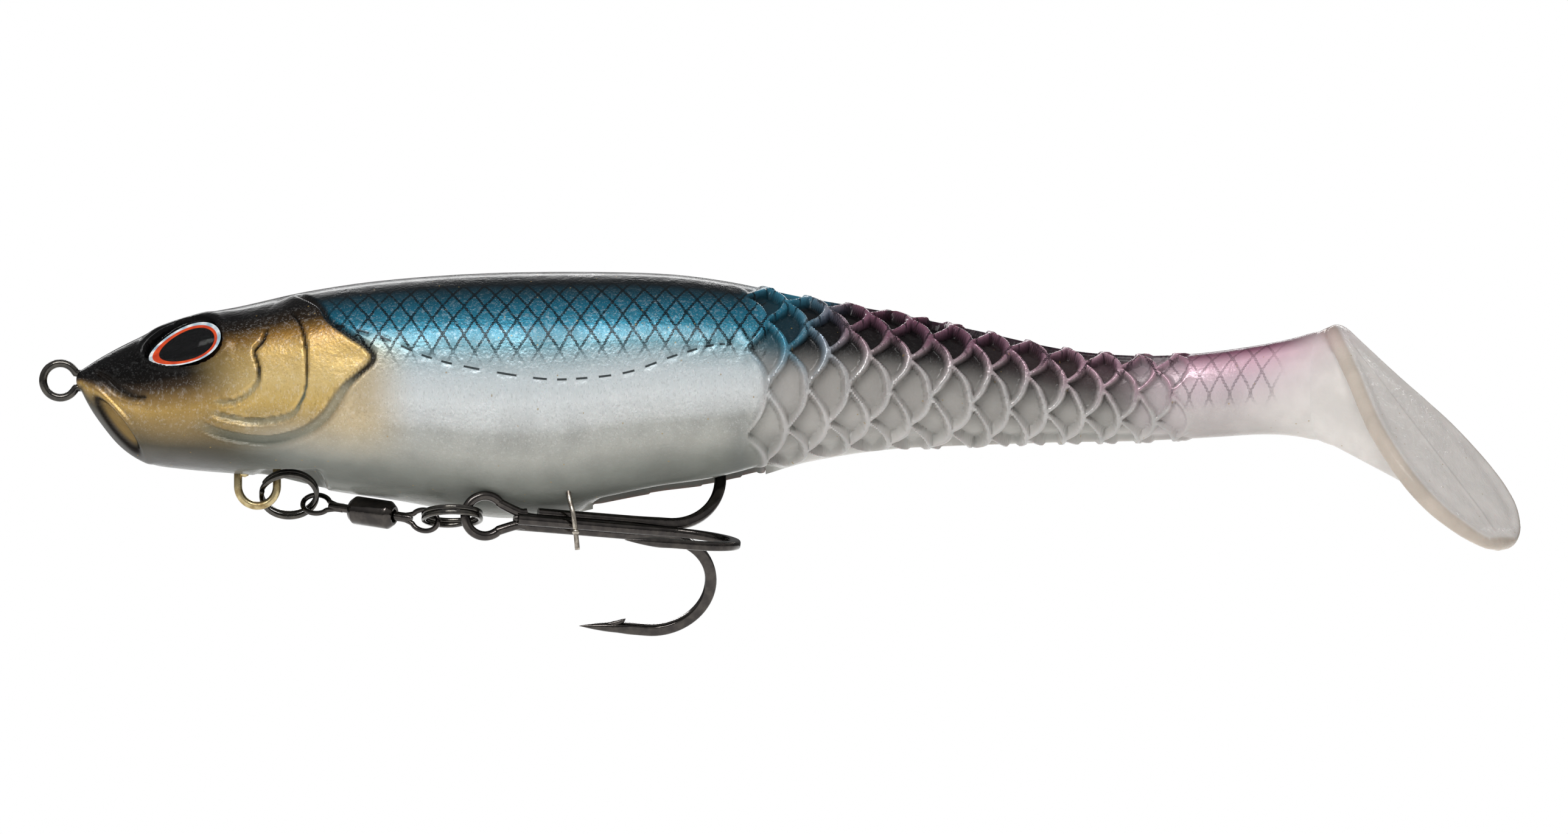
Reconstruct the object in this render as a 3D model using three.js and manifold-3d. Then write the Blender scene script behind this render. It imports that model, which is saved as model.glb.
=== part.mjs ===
// A 20 cm paddle-tail swimbait: a soft fish body on a wire, a jointed row of soft tail
// segments, and a swivel rig that carries a treble hook under the belly.
// Millimetres. The nose points to -X and the back to +Z, and the origin is the centre
// of the line-tie ring on the nose.
import * as THREE from "three";
import { mergeVertices } from "three/addons/utils/BufferGeometryUtils.js";
import Module from "manifold-3d";

const wasm = await Module();
wasm.setup();

const point = (x, y, z) => new THREE.Vector3(x, y, z);
const radians = THREE.MathUtils.degToRad;

// ---------------------------------------------------------------- driving dimensions

const GAP = 0.3; // between pieces that touch on the real lure

// Outline of the body from the side: [x, z] along the back and along the belly.
const BACK = [
  [3, 1.5], [6, 3.4], [10, 5.5], [17, 8.6], [25.5, 10.4], [34, 12.3], [44, 13.8],
  [57, 14.8], [70, 15.1], [84, 14.8], [93, 13.7], [103, 11.6], [115, 9.5], [127, 7],
  [139, 4.4], [148, 3.5], [156, 3.6], [164, 4.5], [171, 5.8], [177, 7.6],
];
const BELLY = [
  [3, -1.5], [5.2, -4.8], [8.5, -9], [12, -11.4], [17, -12.3], [25, -13], [29, -13.4],
  [37, -15.2], [47, -16.7], [54, -18], [60, -19], [65, -19.1], [70, -18.7], [76, -17.4],
  [83, -16], [90, -15], [97, -13.3], [104, -11.3], [115, -9.6], [127, -9], [139, -8.6],
  [150, -8.4], [160, -7.9], [167, -7.5], [172, -7.8], [177, -9],
];
// Seen from above and from the end: [x, half width] and [x, level of the widest point].
const HALF_WIDTH = [
  [3, 1.5], [6, 3], [10, 4.7], [17, 7.2], [25, 9.4], [35, 11.2], [50, 12.1], [65, 12],
  [80, 11.4], [95, 10.2], [110, 8.6], [125, 7], [140, 5.4], [150, 4.5], [160, 3.7],
  [170, 2.9], [177, 2.3],
];
const WIDEST = [[3, 0], [10, -1.6], [25, -1], [60, -1.5], [100, 0], [130, -0.8], [150, -2.4], [177, -1]];
const BACK_ROUNDNESS = 0.92; // powers of the superellipse above and below the widest point
const BELLY_ROUNDNESS = 0.8;

// The tail end leans towards -Y: the centre line curves between these stations.
const LEAN = { start: 140, end: 178, slope: Math.tan(radians(30)) };

// Hinges of the soft tail: station on the centre line and half range in degrees.
const TAIL_HINGES = [103, 115, 127, 139, 151];
const TAIL_BEND = 9;
const PADDLE_HINGE = 169;
const PADDLE_KICK = 22;

const PADDLE = {
  top: point(176.6, 0, 7.6), // top of the disc, in the frame of the straightened tail
  lean: 41.7, // of the disc from upright, degrees
  thickness: 2.4,
  // [distance down from the top, half width]
  outline: [[0, 0], [0.5, 1.7], [2, 2.6], [5, 3.9], [10, 6.2], [15, 8.9], [20, 11.1], [28, 12.5],
    [34, 11.6], [38.5, 8.4], [40.7, 4.6], [41.5, 0]],
  webEnd: 27, // where the web under the tail runs out on the disc
  webHalf: 1.5,
};

const EYE = { x: 17.1, z: 5.1, tilt: 13, halfLength: 5.3, halfHeight: 3, dome: 1.15 };

const LINE_TIE = { ring: 2.39, wire: 1.12, end: 35 }; // centre-line radius, wire diameter, inner end
const BELLY_EYE = { x: 27.4, z: -14.7, ring: 2.7, wire: 1.15, top: -9.6 };
const BALLAST = { front: point(19, 0, -6.9), rear: point(46, 0, -11.4), half: 4, height: 2.5 };

// The rig under the belly: two split rings, a barrel swivel and a treble hook.
const FRONT_RING = { centre: point(31.8, 0.7, -15.8), radius: 3.84, tilt: 41 };
const RING_SWING = { pivot: point(28.11, 0, -14.99), angles: [0, 6, 12, 18, 24] };
const REAR_RING = { centre: point(54.45, -8.2, -18.85), radius: 3.95, tilt: 76 };
const RING_WIRE = { radial: 0.56, axial: 1.16 };
const SWIVEL = {
  centre: point(43.4, -2.2, -18.35),
  along: point(1, -0.47, -0.15).normalize(),
  length: 6.8, diameter: 3.95, wall: 0.5, bore: 1.75,
  shaft: 1.2, // diameter of each eye's shank
  reach: { front: 8.7, rear: 8.05 }, // from the middle of the barrel to the middle of an eye
  roll: { front: 30, rear: 0 }, // of each eye's plane about the swivel's axis, degrees
  eyeLong: 2.05, eyeHigh: 1.45, wire: 0.72, // half length and half height of an eye's wire
};
const TREBLE = {
  eye: point(59, -9.1, -18.8),
  yaw: Math.tan(radians(12.4)), fall: -0.082, // slopes of the shank in Y and Z along X
  eyeRadius: 2.8, eyeWire: 1.35, neck: 5.3,
  wire: 1.5, spread: 1.06, // wire diameter, and its distance from the shank's middle
  bendAt: 26.1, bendRadius: 7.6, leg: 9.6,
  point: 5.4, // length of the ground point
  barbAt: 5.2, barb: 1.5,
  arms: { near: -7, low: -122, high: 113 }, // 0 is towards -Y and 90 is up
  thirdFrom: 7.6, // where the third hook's shank starts
};
// Wire of the pin that holds the shank to the belly, and the pocket it leaves through.
const PIN = {
  wire: 0.7,
  path: [point(71.85, -8.9, -23.5), point(71.6, -9.1, -21), point(71.2, -9.1, -18.3),
    point(70.7, -8.2, -16.2), point(70.2, -7.4, -13), point(69.9, -7.1, -10)],
  bead: 0.5,
};
const PIN_POCKET = { low: point(69.1, -8.9, -30), high: point(73.7, -6.3, -9.2) };
const HOOK_SLOT = { low: point(74.6, -0.9, -30), high: point(98, 4.5, -3.8) };

// ---------------------------------------------------------------- finishes

const finish = (color, roughness, metalness, opacity = 1) =>
  new THREE.MeshStandardMaterial({ color, roughness, metalness, opacity, transparent: opacity < 1 });
const SOFT = finish(0x9fb3b8, 0.3, 0);
const SOFT_TAIL = finish(0x9a8f9a, 0.3, 0);
const SOFT_CLEAR = finish(0xd7d2d0, 0.3, 0);
const DARK_NICKEL = finish(0x4b4a48, 0.28, 1);
const GUNMETAL = finish(0x3b3836, 0.25, 1);
const PALE_BRASS = finish(0xa8966a, 0.35, 1);
const STAINLESS = finish(0x8f8a80, 0.3, 1);
const LEAD = finish(0x6e7075, 0.6, 1);
const IRIS = finish(0xb5482c, 0.35, 0);
const EPOXY = finish(0xffffff, 0.05, 0, 0.35);

// ---------------------------------------------------------------- curves and skins

// Smooth curve through a table of [x, value] rows, with the same slope on both sides of a row.
function along(table, x) {
  const last = table.length - 1;
  let i = table.findIndex((row) => row[0] > x) - 1;
  if (i < 0) i = x < table[0][0] ? 0 : last - 1;
  const slope = (k) => {
    const a = table[Math.max(k - 1, 0)];
    const b = table[Math.min(k + 1, last)];
    return (b[1] - a[1]) / (b[0] - a[0]);
  };
  const [x0, v0] = table[i];
  const [x1, v1] = table[i + 1];
  const h = x1 - x0;
  const u = THREE.MathUtils.clamp((x - x0) / h, 0, 1);
  return (
    v0 * (2 * u ** 3 - 3 * u ** 2 + 1) +
    v1 * (3 * u ** 2 - 2 * u ** 3) +
    h * slope(i) * (u ** 3 - 2 * u ** 2 + u) +
    h * slope(i + 1) * (u ** 3 - u ** 2)
  );
}

// Closed surface over a row of rings with equal counts. Each ring runs anticlockwise
// about the direction of travel. A closed row joins its last ring to its first.
function skin(rings, closed = false) {
  const sides = rings[0].length;
  const positions = rings.flat().flatMap((p) => [p.x, p.y, p.z]);
  const index = [];
  const spans = closed ? rings.length : rings.length - 1;
  for (let i = 0; i < spans; i++) {
    const here = i * sides;
    const next = ((i + 1) % rings.length) * sides;
    for (let k = 0; k < sides; k++) {
      const l = (k + 1) % sides;
      index.push(here + k, here + l, next + l, here + k, next + l, next + k);
    }
  }
  if (!closed) {
    for (const [ring, flip] of [[0, true], [rings.length - 1, false]]) {
      const middle = positions.length / 3;
      const centre = rings[ring].reduce((sum, p) => sum.add(p), point(0, 0, 0)).divideScalar(sides);
      positions.push(centre.x, centre.y, centre.z);
      for (let k = 0; k < sides; k++) {
        const a = ring * sides + k;
        const b = ring * sides + ((k + 1) % sides);
        index.push(middle, flip ? b : a, flip ? a : b);
      }
    }
  }
  const geometry = new THREE.BufferGeometry();
  geometry.setAttribute("position", new THREE.Float32BufferAttribute(positions, 3));
  geometry.setIndex(index);
  return geometry;
}

// Wire or bar along a path. section(i) gives [across, up] pairs for step i, anticlockwise;
// up is the plane's normal for a flat path, and is carried along a path with no normal.
function sweep(path, section, normal = null, closed = false) {
  const count = path.length;
  let up = normal;
  return skin(
    path.map((p, i) => {
      const before = path[closed ? (i + count - 1) % count : Math.max(i - 1, 0)];
      const after = path[closed ? (i + 1) % count : Math.min(i + 1, count - 1)];
      const tangent = after.clone().sub(before).normalize();
      if (!normal) {
        const start = up ?? point(0, Math.abs(tangent.y) < 0.9 ? 1 : 0, Math.abs(tangent.y) < 0.9 ? 0 : 1);
        up = start.clone().addScaledVector(tangent, -start.dot(tangent)).normalize();
      }
      const across = up.clone().cross(tangent);
      return section(i).map(([a, b]) => p.clone().addScaledVector(across, a).addScaledVector(up, b));
    }),
    closed,
  );
}

// Ring of points for a section, from the across axis towards up.
function oval(a, b, sides) {
  return Array.from({ length: sides }, (_, k) => {
    const t = (2 * Math.PI * k) / sides;
    return [a * Math.cos(t), b * Math.sin(t)];
  });
}

const WIRE_SIDES = 8;
const wire = (path, diameter, normal = null, closed = false) =>
  sweep(path, () => oval(diameter / 2, diameter / 2, WIRE_SIDES), normal, closed);

// ---------------------------------------------------------------- solids

function solid(geometry) {
  const bare = new THREE.BufferGeometry();
  bare.setAttribute("position", geometry.getAttribute("position"));
  bare.setIndex(geometry.index);
  const merged = mergeVertices(bare, 1e-4);
  return new wasm.Manifold(
    new wasm.Mesh({
      numProp: 3,
      vertProperties: merged.attributes.position.array,
      triVerts: new Uint32Array(merged.index.array),
    }),
  );
}

function shape(manifold) {
  const { vertProperties, triVerts } = manifold.getMesh();
  const geometry = new THREE.BufferGeometry();
  geometry.setAttribute("position", new THREE.BufferAttribute(vertProperties, 3));
  geometry.setIndex(new THREE.BufferAttribute(triVerts, 1));
  return geometry;
}

const join = (...pieces) => shape(pieces.map(solid).reduce((a, b) => a.add(b)));
const cut = (piece, ...tools) => shape(tools.map(solid).reduce((a, b) => a.subtract(b), solid(piece)));

function block(low, high) {
  const size = high.clone().sub(low);
  const middle = low.clone().add(high).multiplyScalar(0.5);
  return new THREE.BoxGeometry(size.x, size.y, size.z).translate(middle.x, middle.y, middle.z);
}

const lure = new THREE.Group();

function add(parent, name, geometry, material) {
  geometry.computeVertexNormals();
  const mesh = new THREE.Mesh(geometry, material);
  mesh.name = name;
  parent.add(mesh);
  return mesh;
}

// ---------------------------------------------------------------- the fish's surface

const BODY_SIDES = 32;

// Centre line of the body from above: its Y, and the angle it has turned towards -Y.
function spine(x) {
  const length = LEAN.end - LEAN.start;
  const u = Math.max((x - LEAN.start) / length, 0);
  const c = Math.min(u, 1);
  const turn = LEAN.slope * (3 * c ** 2 - 2 * c ** 3);
  const y = -LEAN.slope * length * (c ** 3 - c ** 4 / 2 + Math.max(u - 1, 0));
  return { y, angle: Math.atan(turn) };
}

// A place beside the centre line: station x, sideways offset and level.
function beside(x, offset, z) {
  const { y, angle } = spine(x);
  return point(x + offset * Math.sin(angle), y + offset * Math.cos(angle), z);
}

// Cross-section at station x: offset and level at turn t, from the far side over the back.
function section(x, t) {
  const middle = along(WIDEST, x);
  const c = Math.cos(t);
  const s = Math.sin(t);
  const round = s >= 0 ? BACK_ROUNDNESS : BELLY_ROUNDNESS;
  const height = s >= 0 ? along(BACK, x) - middle : middle - along(BELLY, x);
  return {
    offset: along(HALF_WIDTH, x) * Math.sign(c) * Math.abs(c) ** round,
    z: middle + height * Math.sign(s) * Math.abs(s) ** round,
  };
}

// One ring of the body. spread moves its sides along the body, to give a joint its V.
function bodyRing(x, spread = 0) {
  return Array.from({ length: BODY_SIDES }, (_, k) => {
    const t = (2 * Math.PI * k) / BODY_SIDES;
    const here = section(x, t);
    const station = x + spread * Math.abs(here.offset);
    const { offset, z } = section(station, t);
    return beside(station, offset, z);
  });
}

// Length of body between two hinges, each end cut back to a blunt V that lets it bend.
function bodyLength(from, to, fromBend, toBend, step) {
  const start = from + (fromBend ? GAP / 2 : 0);
  const end = to - (toBend ? GAP / 2 : 0);
  const widest = along(HALF_WIDTH, from) * Math.tan(radians(fromBend / 2));
  const narrow = along(HALF_WIDTH, to) * Math.tan(radians(toBend / 2));
  const first = start + widest + 0.3;
  const last = end - narrow - 0.3;
  const count = Math.max(Math.round((last - first) / step), 1);
  const stations = Array.from({ length: count + 1 }, (_, i) => first + ((last - first) * i) / count);
  return skin([
    bodyRing(start, Math.tan(radians(fromBend / 2))),
    ...stations.map((x) => bodyRing(x)),
    bodyRing(end, -Math.tan(radians(toBend / 2))),
  ]);
}

// ---------------------------------------------------------------- wire and weight inside

// Round wire ring in the XZ plane.
function upright(centre, radius, steps, from = 0, sweepAngle = 2 * Math.PI) {
  const whole = sweepAngle >= 2 * Math.PI;
  return Array.from({ length: whole ? steps : steps + 1 }, (_, k) => {
    const t = from + (sweepAngle * k) / steps;
    return point(centre.x + radius * Math.cos(t), centre.y, centre.z + radius * Math.sin(t));
  });
}

const ALONG_Y = point(0, 1, 0);

function lineTie(extra) {
  const diameter = LINE_TIE.wire + 2 * extra;
  const shank = new THREE.CatmullRomCurve3([
    point(LINE_TIE.ring, 0, 0), point(6, 0, -0.3), point(13, 0, -3.4), point(21, 0, -6.4),
    point(LINE_TIE.end + extra, 0, -7.9),
  ]);
  return {
    ring: wire(upright(point(0, 0, 0), LINE_TIE.ring, 36), diameter, ALONG_Y, true),
    shank: wire(shank.getPoints(16), diameter, ALONG_Y),
  };
}

function bellyEye(extra) {
  const { x, z, ring, top } = BELLY_EYE;
  const loop = upright(point(x, 0, z), ring, 18, Math.PI, Math.PI);
  return wire(
    [point(x - ring, 0, top + extra), ...loop, point(x + ring, 0, top + extra)],
    BELLY_EYE.wire + 2 * extra,
    ALONG_Y,
  );
}

function ballast(extra) {
  const { front, rear, half, height } = BALLAST;
  const steps = 12;
  const rings = [];
  for (let i = 0; i <= steps; i++) {
    const t = (Math.PI * i) / steps;
    const size = Math.max(Math.sin(t), 0.12) ** 0.6;
    const centre = front.clone().lerp(rear, (1 - Math.cos(t)) / 2);
    centre.x += extra * (i === 0 ? -1 : i === steps ? 1 : 0);
    rings.push(
      oval(half * size + extra, height * size + extra, 20).map(([a, b]) => point(centre.x, a, centre.z + b)),
    );
  }
  return skin(rings);
}

// ---------------------------------------------------------------- eyes

// Place and axes of an eye on the side of the head: side is -1 for the near one.
function eyeFrame(side) {
  const level = (x, z) => {
    const middle = along(WIDEST, x);
    const rise = Math.min((z - middle) / (along(BACK, x) - middle), 1);
    const t = Math.asin(rise ** (1 / BACK_ROUNDNESS));
    return section(x, t).offset;
  };
  const y = level(EYE.x, EYE.z);
  const slopeX = (level(EYE.x + 1, EYE.z) - level(EYE.x - 1, EYE.z)) / 2;
  const slopeZ = (level(EYE.x, EYE.z + 1) - level(EYE.x, EYE.z - 1)) / 2;
  const out = point(-slopeX, side, -slopeZ).normalize();
  const tilt = radians(EYE.tilt);
  const long = point(Math.cos(tilt), 0, Math.sin(tilt));
  long.addScaledVector(out, -long.dot(out)).normalize();
  const high = out.clone().cross(long);
  const frame = new THREE.Matrix4().makeBasis(long, high, out);
  return frame.setPosition(EYE.x, side * y, EYE.z);
}

const EYE_SIDES = 24;

// Stack of ellipses along the frame's third axis: [height, share of the eye's size, margin].
function eyeStack(side, layers) {
  const frame = eyeFrame(side);
  return skin(
    layers.map(([height, share, margin = 0]) =>
      Array.from({ length: EYE_SIDES }, (_, k) => {
        const t = (2 * Math.PI * k) / EYE_SIDES;
        const a = EYE.halfLength * share + margin;
        const b = EYE.halfHeight * share + margin;
        return point(a * Math.cos(t), b * Math.sin(t), height).applyMatrix4(frame);
      }),
    ),
  );
}

const EYE_FLOOR = -1.3;
const EYE_FOIL = 0.4;
const socket = (side) => eyeStack(side, [[EYE_FLOOR - GAP, 1, GAP], [6, 1, GAP]]);
const foil = (side) => eyeStack(side, [[EYE_FLOOR, 1], [EYE_FLOOR + EYE_FOIL, 1]]);
function dome(side) {
  const base = EYE_FLOOR + EYE_FOIL + GAP;
  const layers = [[base, 1], [-0.1, 1]];
  const steps = 5;
  for (let i = 1; i <= steps; i++) {
    const t = (Math.PI / 2) * (i / (steps + 0.3));
    layers.push([-0.1 + EYE.dome * Math.sin(t), Math.cos(t)]);
  }
  return eyeStack(side, layers);
}

// ---------------------------------------------------------------- split ring shapes

// Two turns of wire side by side, as one band with rounded edges.
function ringBand({ radius }, extra) {
  const across = RING_WIRE.radial / 2 + extra;
  const thick = RING_WIRE.axial / 2 + extra;
  const squared = (share) => Math.sign(share) * Math.abs(share) ** 0.6;
  const band = oval(1, 1, 8).map(([a, b]) => [across * squared(a), thick * squared(b)]);
  return sweep(upright(point(0, 0, 0), radius, 32), () => band, ALONG_Y, true);
}

// Under the belly, turned from upright so that the upper edge comes towards -Y.
const ringPlace = ({ centre, tilt }) =>
  new THREE.Matrix4().makeRotationX(radians(tilt)).setPosition(centre);

// The space the front ring needs when it hangs from the belly eye at `angle` below its rest pose.
function ringRelief(angle) {
  const { x, y, z } = RING_SWING.pivot;
  return ringBand(FRONT_RING, GAP)
    .applyMatrix4(ringPlace(FRONT_RING))
    .translate(-x, -y, -z)
    .rotateY(radians(angle))
    .translate(x, y, z);
}

// ---------------------------------------------------------------- soft body

const nearSide = -1;
const farSide = 1;
const torso = cut(
  bodyLength(3, TAIL_HINGES[0], 0, TAIL_BEND, 4),
  ballast(GAP),
  lineTie(GAP).shank,
  bellyEye(GAP),
  socket(nearSide),
  socket(farSide),
  block(HOOK_SLOT.low, HOOK_SLOT.high),
  block(PIN_POCKET.low, PIN_POCKET.high),
  ...RING_SWING.angles.map(ringRelief),
);
add(lure, "head_and_torso", torso, SOFT);

const tie = lineTie(0);
add(lure, "line_tie_wire", join(tie.ring, tie.shank), DARK_NICKEL);
add(lure, "belly_eye_wire", bellyEye(0), PALE_BRASS);
add(lure, "ballast_weight", cut(ballast(0), lineTie(GAP).shank, bellyEye(GAP)), LEAD);
for (const [side, name] of [[nearSide, "left"], [farSide, "right"]]) {
  add(lure, "eye_foil_" + name, foil(side), IRIS);
  add(lure, "eye_dome_" + name, dome(side), EPOXY);
}

TAIL_HINGES.slice(0, -1).forEach((hinge, i) => {
  const length = bodyLength(hinge, TAIL_HINGES[i + 1], TAIL_BEND, TAIL_BEND, 4);
  add(lure, "tail_segment_" + (i + 1), length, SOFT_TAIL);
});
const wristStart = TAIL_HINGES[TAIL_HINGES.length - 1];
add(lure, "tail_wrist", bodyLength(wristStart, PADDLE_HINGE, TAIL_BEND, PADDLE_KICK, 3), SOFT_TAIL);

// ---------------------------------------------------------------- paddle

// The paddle is drawn on the straightened tail, then carried round to the end of the lean.
function paddleShape() {
  const lean = radians(PADDLE.lean);
  const down = point(Math.sin(lean), 0, -Math.cos(lean));
  const out = point(Math.cos(lean), 0, Math.sin(lean));
  const length = PADDLE.outline[PADDLE.outline.length - 1][0];
  const rows = 22;
  const discRing = (scale, depth) => {
    const edge = [];
    for (const side of [-1, 1]) {
      for (let i = 0; i < rows; i++) {
        const f = (1 - Math.cos((Math.PI * i) / rows)) / 2;
        const d = length * (side < 0 ? f : 1 - f);
        const middle = length * 0.55;
        const half = side * along(PADDLE.outline, d) * scale;
        edge.push(
          PADDLE.top.clone()
            .addScaledVector(down, middle + (d - middle) * scale)
            .addScaledVector(point(0, 1, 0), half)
            .addScaledVector(out, depth),
        );
      }
    }
    return edge;
  };
  const half = PADDLE.thickness / 2;
  const layers = [[0.95, -half], [1, -half / 2], [1, half / 2], [0.95, half]];
  const disc = skin(layers.map(([scale, depth]) => discRing(scale, depth)));
  // The web is a fin between the wrist and the front of the disc.
  const start = PADDLE_HINGE + GAP / 2;
  const webTop = PADDLE.top.clone().addScaledVector(down, 1.5);
  const webFoot = PADDLE.top.clone().addScaledVector(down, PADDLE.webEnd);
  const stations = [0, 0.25, 0.5, 0.75, 1];
  const neck = stations.map((f) => {
    const x = start + 0.9 + (webTop.x - start - 0.9) * f;
    return straightRing(x);
  });
  const first = straightRing(start, Math.tan(radians(PADDLE_KICK / 2)));
  const sides = BODY_SIDES;
  // The last rings lean over until they lie on the disc.
  const onDisc = Array.from({ length: sides }, (_, k) => {
    const t = (2 * Math.PI * k) / sides;
    const level = (Math.sin(t) + 1) / 2;
    const spot = webFoot.clone().lerp(webTop, level);
    return point(spot.x, PADDLE.webHalf * Math.sign(Math.cos(t)) * Math.abs(Math.cos(t)) ** 0.5, spot.z);
  });
  const last = neck[neck.length - 1];
  const fan = [0.33, 0.66].map((f) => last.map((p, k) => p.clone().lerp(onDisc[k], f)));
  const web = skin([first, ...neck, ...fan, onDisc]);
  return join(disc, web);
}

// Ring of the body on a straight centre line.
function straightRing(x, spread = 0) {
  return Array.from({ length: BODY_SIDES }, (_, k) => {
    const t = (2 * Math.PI * k) / BODY_SIDES;
    const here = section(x, t);
    const station = x + spread * Math.abs(here.offset);
    const { offset, z } = section(station, t);
    return point(station, offset, z);
  });
}

// Bends a straight-tail geometry round the lean.
function leanOver(geometry) {
  const places = geometry.getAttribute("position");
  for (let i = 0; i < places.count; i++) {
    const p = beside(places.getX(i), places.getY(i), places.getZ(i));
    places.setXYZ(i, p.x, p.y, p.z);
  }
  return geometry;
}

// Beyond the end of the curve, distance along the tail shrinks to its share along X.
function shorten(geometry) {
  const places = geometry.getAttribute("position");
  const share = Math.cos(Math.atan(LEAN.slope));
  const end = PADDLE.top.x;
  for (let i = 0; i < places.count; i++) {
    const x = places.getX(i);
    if (x > end) places.setX(i, end + (x - end) * share);
  }
  return geometry;
}
add(lure, "tail_paddle", leanOver(shorten(paddleShape())), SOFT_CLEAR);

// ---------------------------------------------------------------- split rings

function splitRing(name, spec) {
  const mesh = add(lure, name, ringBand(spec, 0), DARK_NICKEL);
  mesh.applyMatrix4(ringPlace(spec));
}
splitRing("split_ring_front", FRONT_RING);
splitRing("split_ring_rear", REAR_RING);

// ---------------------------------------------------------------- barrel swivel

// The swivel lies along its group's X axis, with its eyes in the group's XZ plane.
function swivel() {
  const group = new THREE.Group();
  group.position.copy(SWIVEL.centre);
  const side = point(0, 0, 1).cross(SWIVEL.along).normalize();
  const up = SWIVEL.along.clone().cross(side);
  group.setRotationFromMatrix(new THREE.Matrix4().makeBasis(SWIVEL.along, side, up));
  lure.add(group);

  const half = SWIVEL.length / 2;
  const outer = SWIVEL.diameter / 2;
  const chamfer = 0.75;
  const inner = outer - SWIVEL.wall;
  const bore = SWIVEL.bore / 2;
  const profile = [
    [bore, -half], [outer - chamfer, -half], [outer, -half + chamfer], [outer, half - chamfer],
    [outer - chamfer, half], [bore, half], [bore, half - 0.7], [inner, half - 1.1],
    [inner, -half + 1.1], [bore, -half + 0.7], [bore, -half],
  ].map(([r, h]) => new THREE.Vector2(r, h));
  const barrel = new THREE.LatheGeometry(profile, 24).rotateZ(-Math.PI / 2);
  add(group, "swivel_barrel", barrel, GUNMETAL);

  for (const [end, way] of [["front", -1], ["rear", 1]]) {
    const { eyeLong, eyeHigh } = SWIVEL;
    const reach = SWIVEL.reach[end];
    const roll = radians(SWIVEL.roll[end]);
    const high = point(0, Math.sin(roll), Math.cos(roll));
    const normal = point(0, Math.cos(roll), -Math.sin(roll));
    const loop = upright(point(0, 0, 0), 1, 24).map((p) =>
      point(way * reach + p.x * eyeLong, 0, 0).addScaledVector(high, p.z * eyeHigh),
    );
    const neck = reach - eyeLong;
    const head = half - 1.5;
    const shaft = SWIVEL.shaft / 2;
    const button = inner - GAP;
    const turned = new THREE.LatheGeometry(
      [[0, head - 1], [button, head - 1], [button, head - 0.1], [shaft, head + 0.1], [shaft, neck], [0, neck]].map(
        ([r, h]) => new THREE.Vector2(r, way * h),
      ).slice()[way > 0 ? "slice" : "reverse"](),
      16,
    ).rotateZ(-Math.PI / 2);
    add(group, "swivel_" + end + "_eye", join(wire(loop, SWIVEL.wire, normal, true), turned), GUNMETAL);
  }
}
swivel();

// ---------------------------------------------------------------- treble hook

// The treble lies along its group's X axis. Across is the group's -Y, so that an arm at
// 0 degrees points towards the near side and one at 90 degrees points up.
const treble = new THREE.Group();
treble.position.copy(TREBLE.eye);
{
  const shank = point(1, TREBLE.yaw, TREBLE.fall).normalize();
  const side = point(0, 0, 1).cross(shank).normalize();
  treble.setRotationFromMatrix(new THREE.Matrix4().makeBasis(shank, side, shank.clone().cross(side)));
}
lure.add(treble);

// One hook: shank from start, round bend, leg and ground point with its barb.
function hook(angle, start) {
  const turn = radians(angle);
  const away = point(0, -Math.cos(turn), Math.sin(turn));
  const normal = point(1, 0, 0).cross(away);
  const at = (a, r) => point(a, 0, 0).addScaledVector(away, r);
  const { spread, bendAt, bendRadius, leg } = TREBLE;
  const path = [at(start, spread), at((start + bendAt) / 2, spread)];
  const bendSteps = 14;
  for (let i = 0; i <= bendSteps; i++) {
    const t = (Math.PI * i) / bendSteps;
    path.push(at(bendAt + bendRadius * Math.sin(t), spread + bendRadius * (1 - Math.cos(t))));
  }
  const outer = spread + 2 * bendRadius;
  const tip = bendAt - leg;
  path.push(at(tip + TREBLE.point, outer), at(tip + TREBLE.point / 2, outer), at(tip, outer + 0.15));
  const taper = [1, 0.55, 0.08];
  const size = (i) => (TREBLE.wire / 2) * (taper[i - (path.length - 3)] ?? 1);
  const shaft = sweep(path, (i) => oval(size(i), size(i), WIRE_SIDES), normal);
  const barbRoot = at(tip + TREBLE.barbAt - 1.2, outer - 0.1);
  const barbTip = at(tip + TREBLE.barbAt + 1.1, outer - TREBLE.barb);
  const barb = sweep([barbRoot, barbTip], (i) => oval(i ? 0.08 : 0.42, i ? 0.06 : 0.3, 6), normal);
  return join(shaft, barb);
}

// Eye of the treble: a pear-shaped loop that narrows into the shank.
function trebleEye() {
  const { eyeRadius, neck } = TREBLE;
  const opening = radians(42);
  const round = upright(point(0, 0, 0), eyeRadius, 22, opening, 2 * Math.PI - 2 * opening);
  const loop = [point(neck, 0, TREBLE.spread * 0.75), ...round, point(neck, 0, -TREBLE.spread * 0.75)];
  return wire(loop, TREBLE.eyeWire, ALONG_Y);
}

{
  const { near, low, high } = TREBLE.arms;
  const collar = wire([point(TREBLE.neck - 0.8, 0, 0), point(TREBLE.thirdFrom - GAP, 0, 0)], 2.3, ALONG_Y);
  const pair = join(trebleEye(), collar, hook(near, TREBLE.neck - 0.6), hook(low, TREBLE.neck - 0.6));
  add(treble, "treble_double_hook", pair, GUNMETAL);
  add(treble, "treble_third_hook", hook(high, TREBLE.thirdFrom), GUNMETAL);
}

const pinPath = new THREE.CatmullRomCurve3(PIN.path).getPoints(20);
const bead = new THREE.SphereGeometry(PIN.bead, 12, 8).translate(71.6, -9.3, -21);
add(lure, "hook_pin", join(wire(pinPath, PIN.wire), bead), STAINLESS);

export default lure;
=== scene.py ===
"""Looks of a paddle-tail swimbait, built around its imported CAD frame.

Shapes are worked out in millimetres in the part's own frame: +X from nose to tail, +Z up,
-Y towards the fish's left side. Meshes are made in metres.
"""

import math

import bpy
import numpy as np
from mathutils import Matrix, Vector


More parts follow.
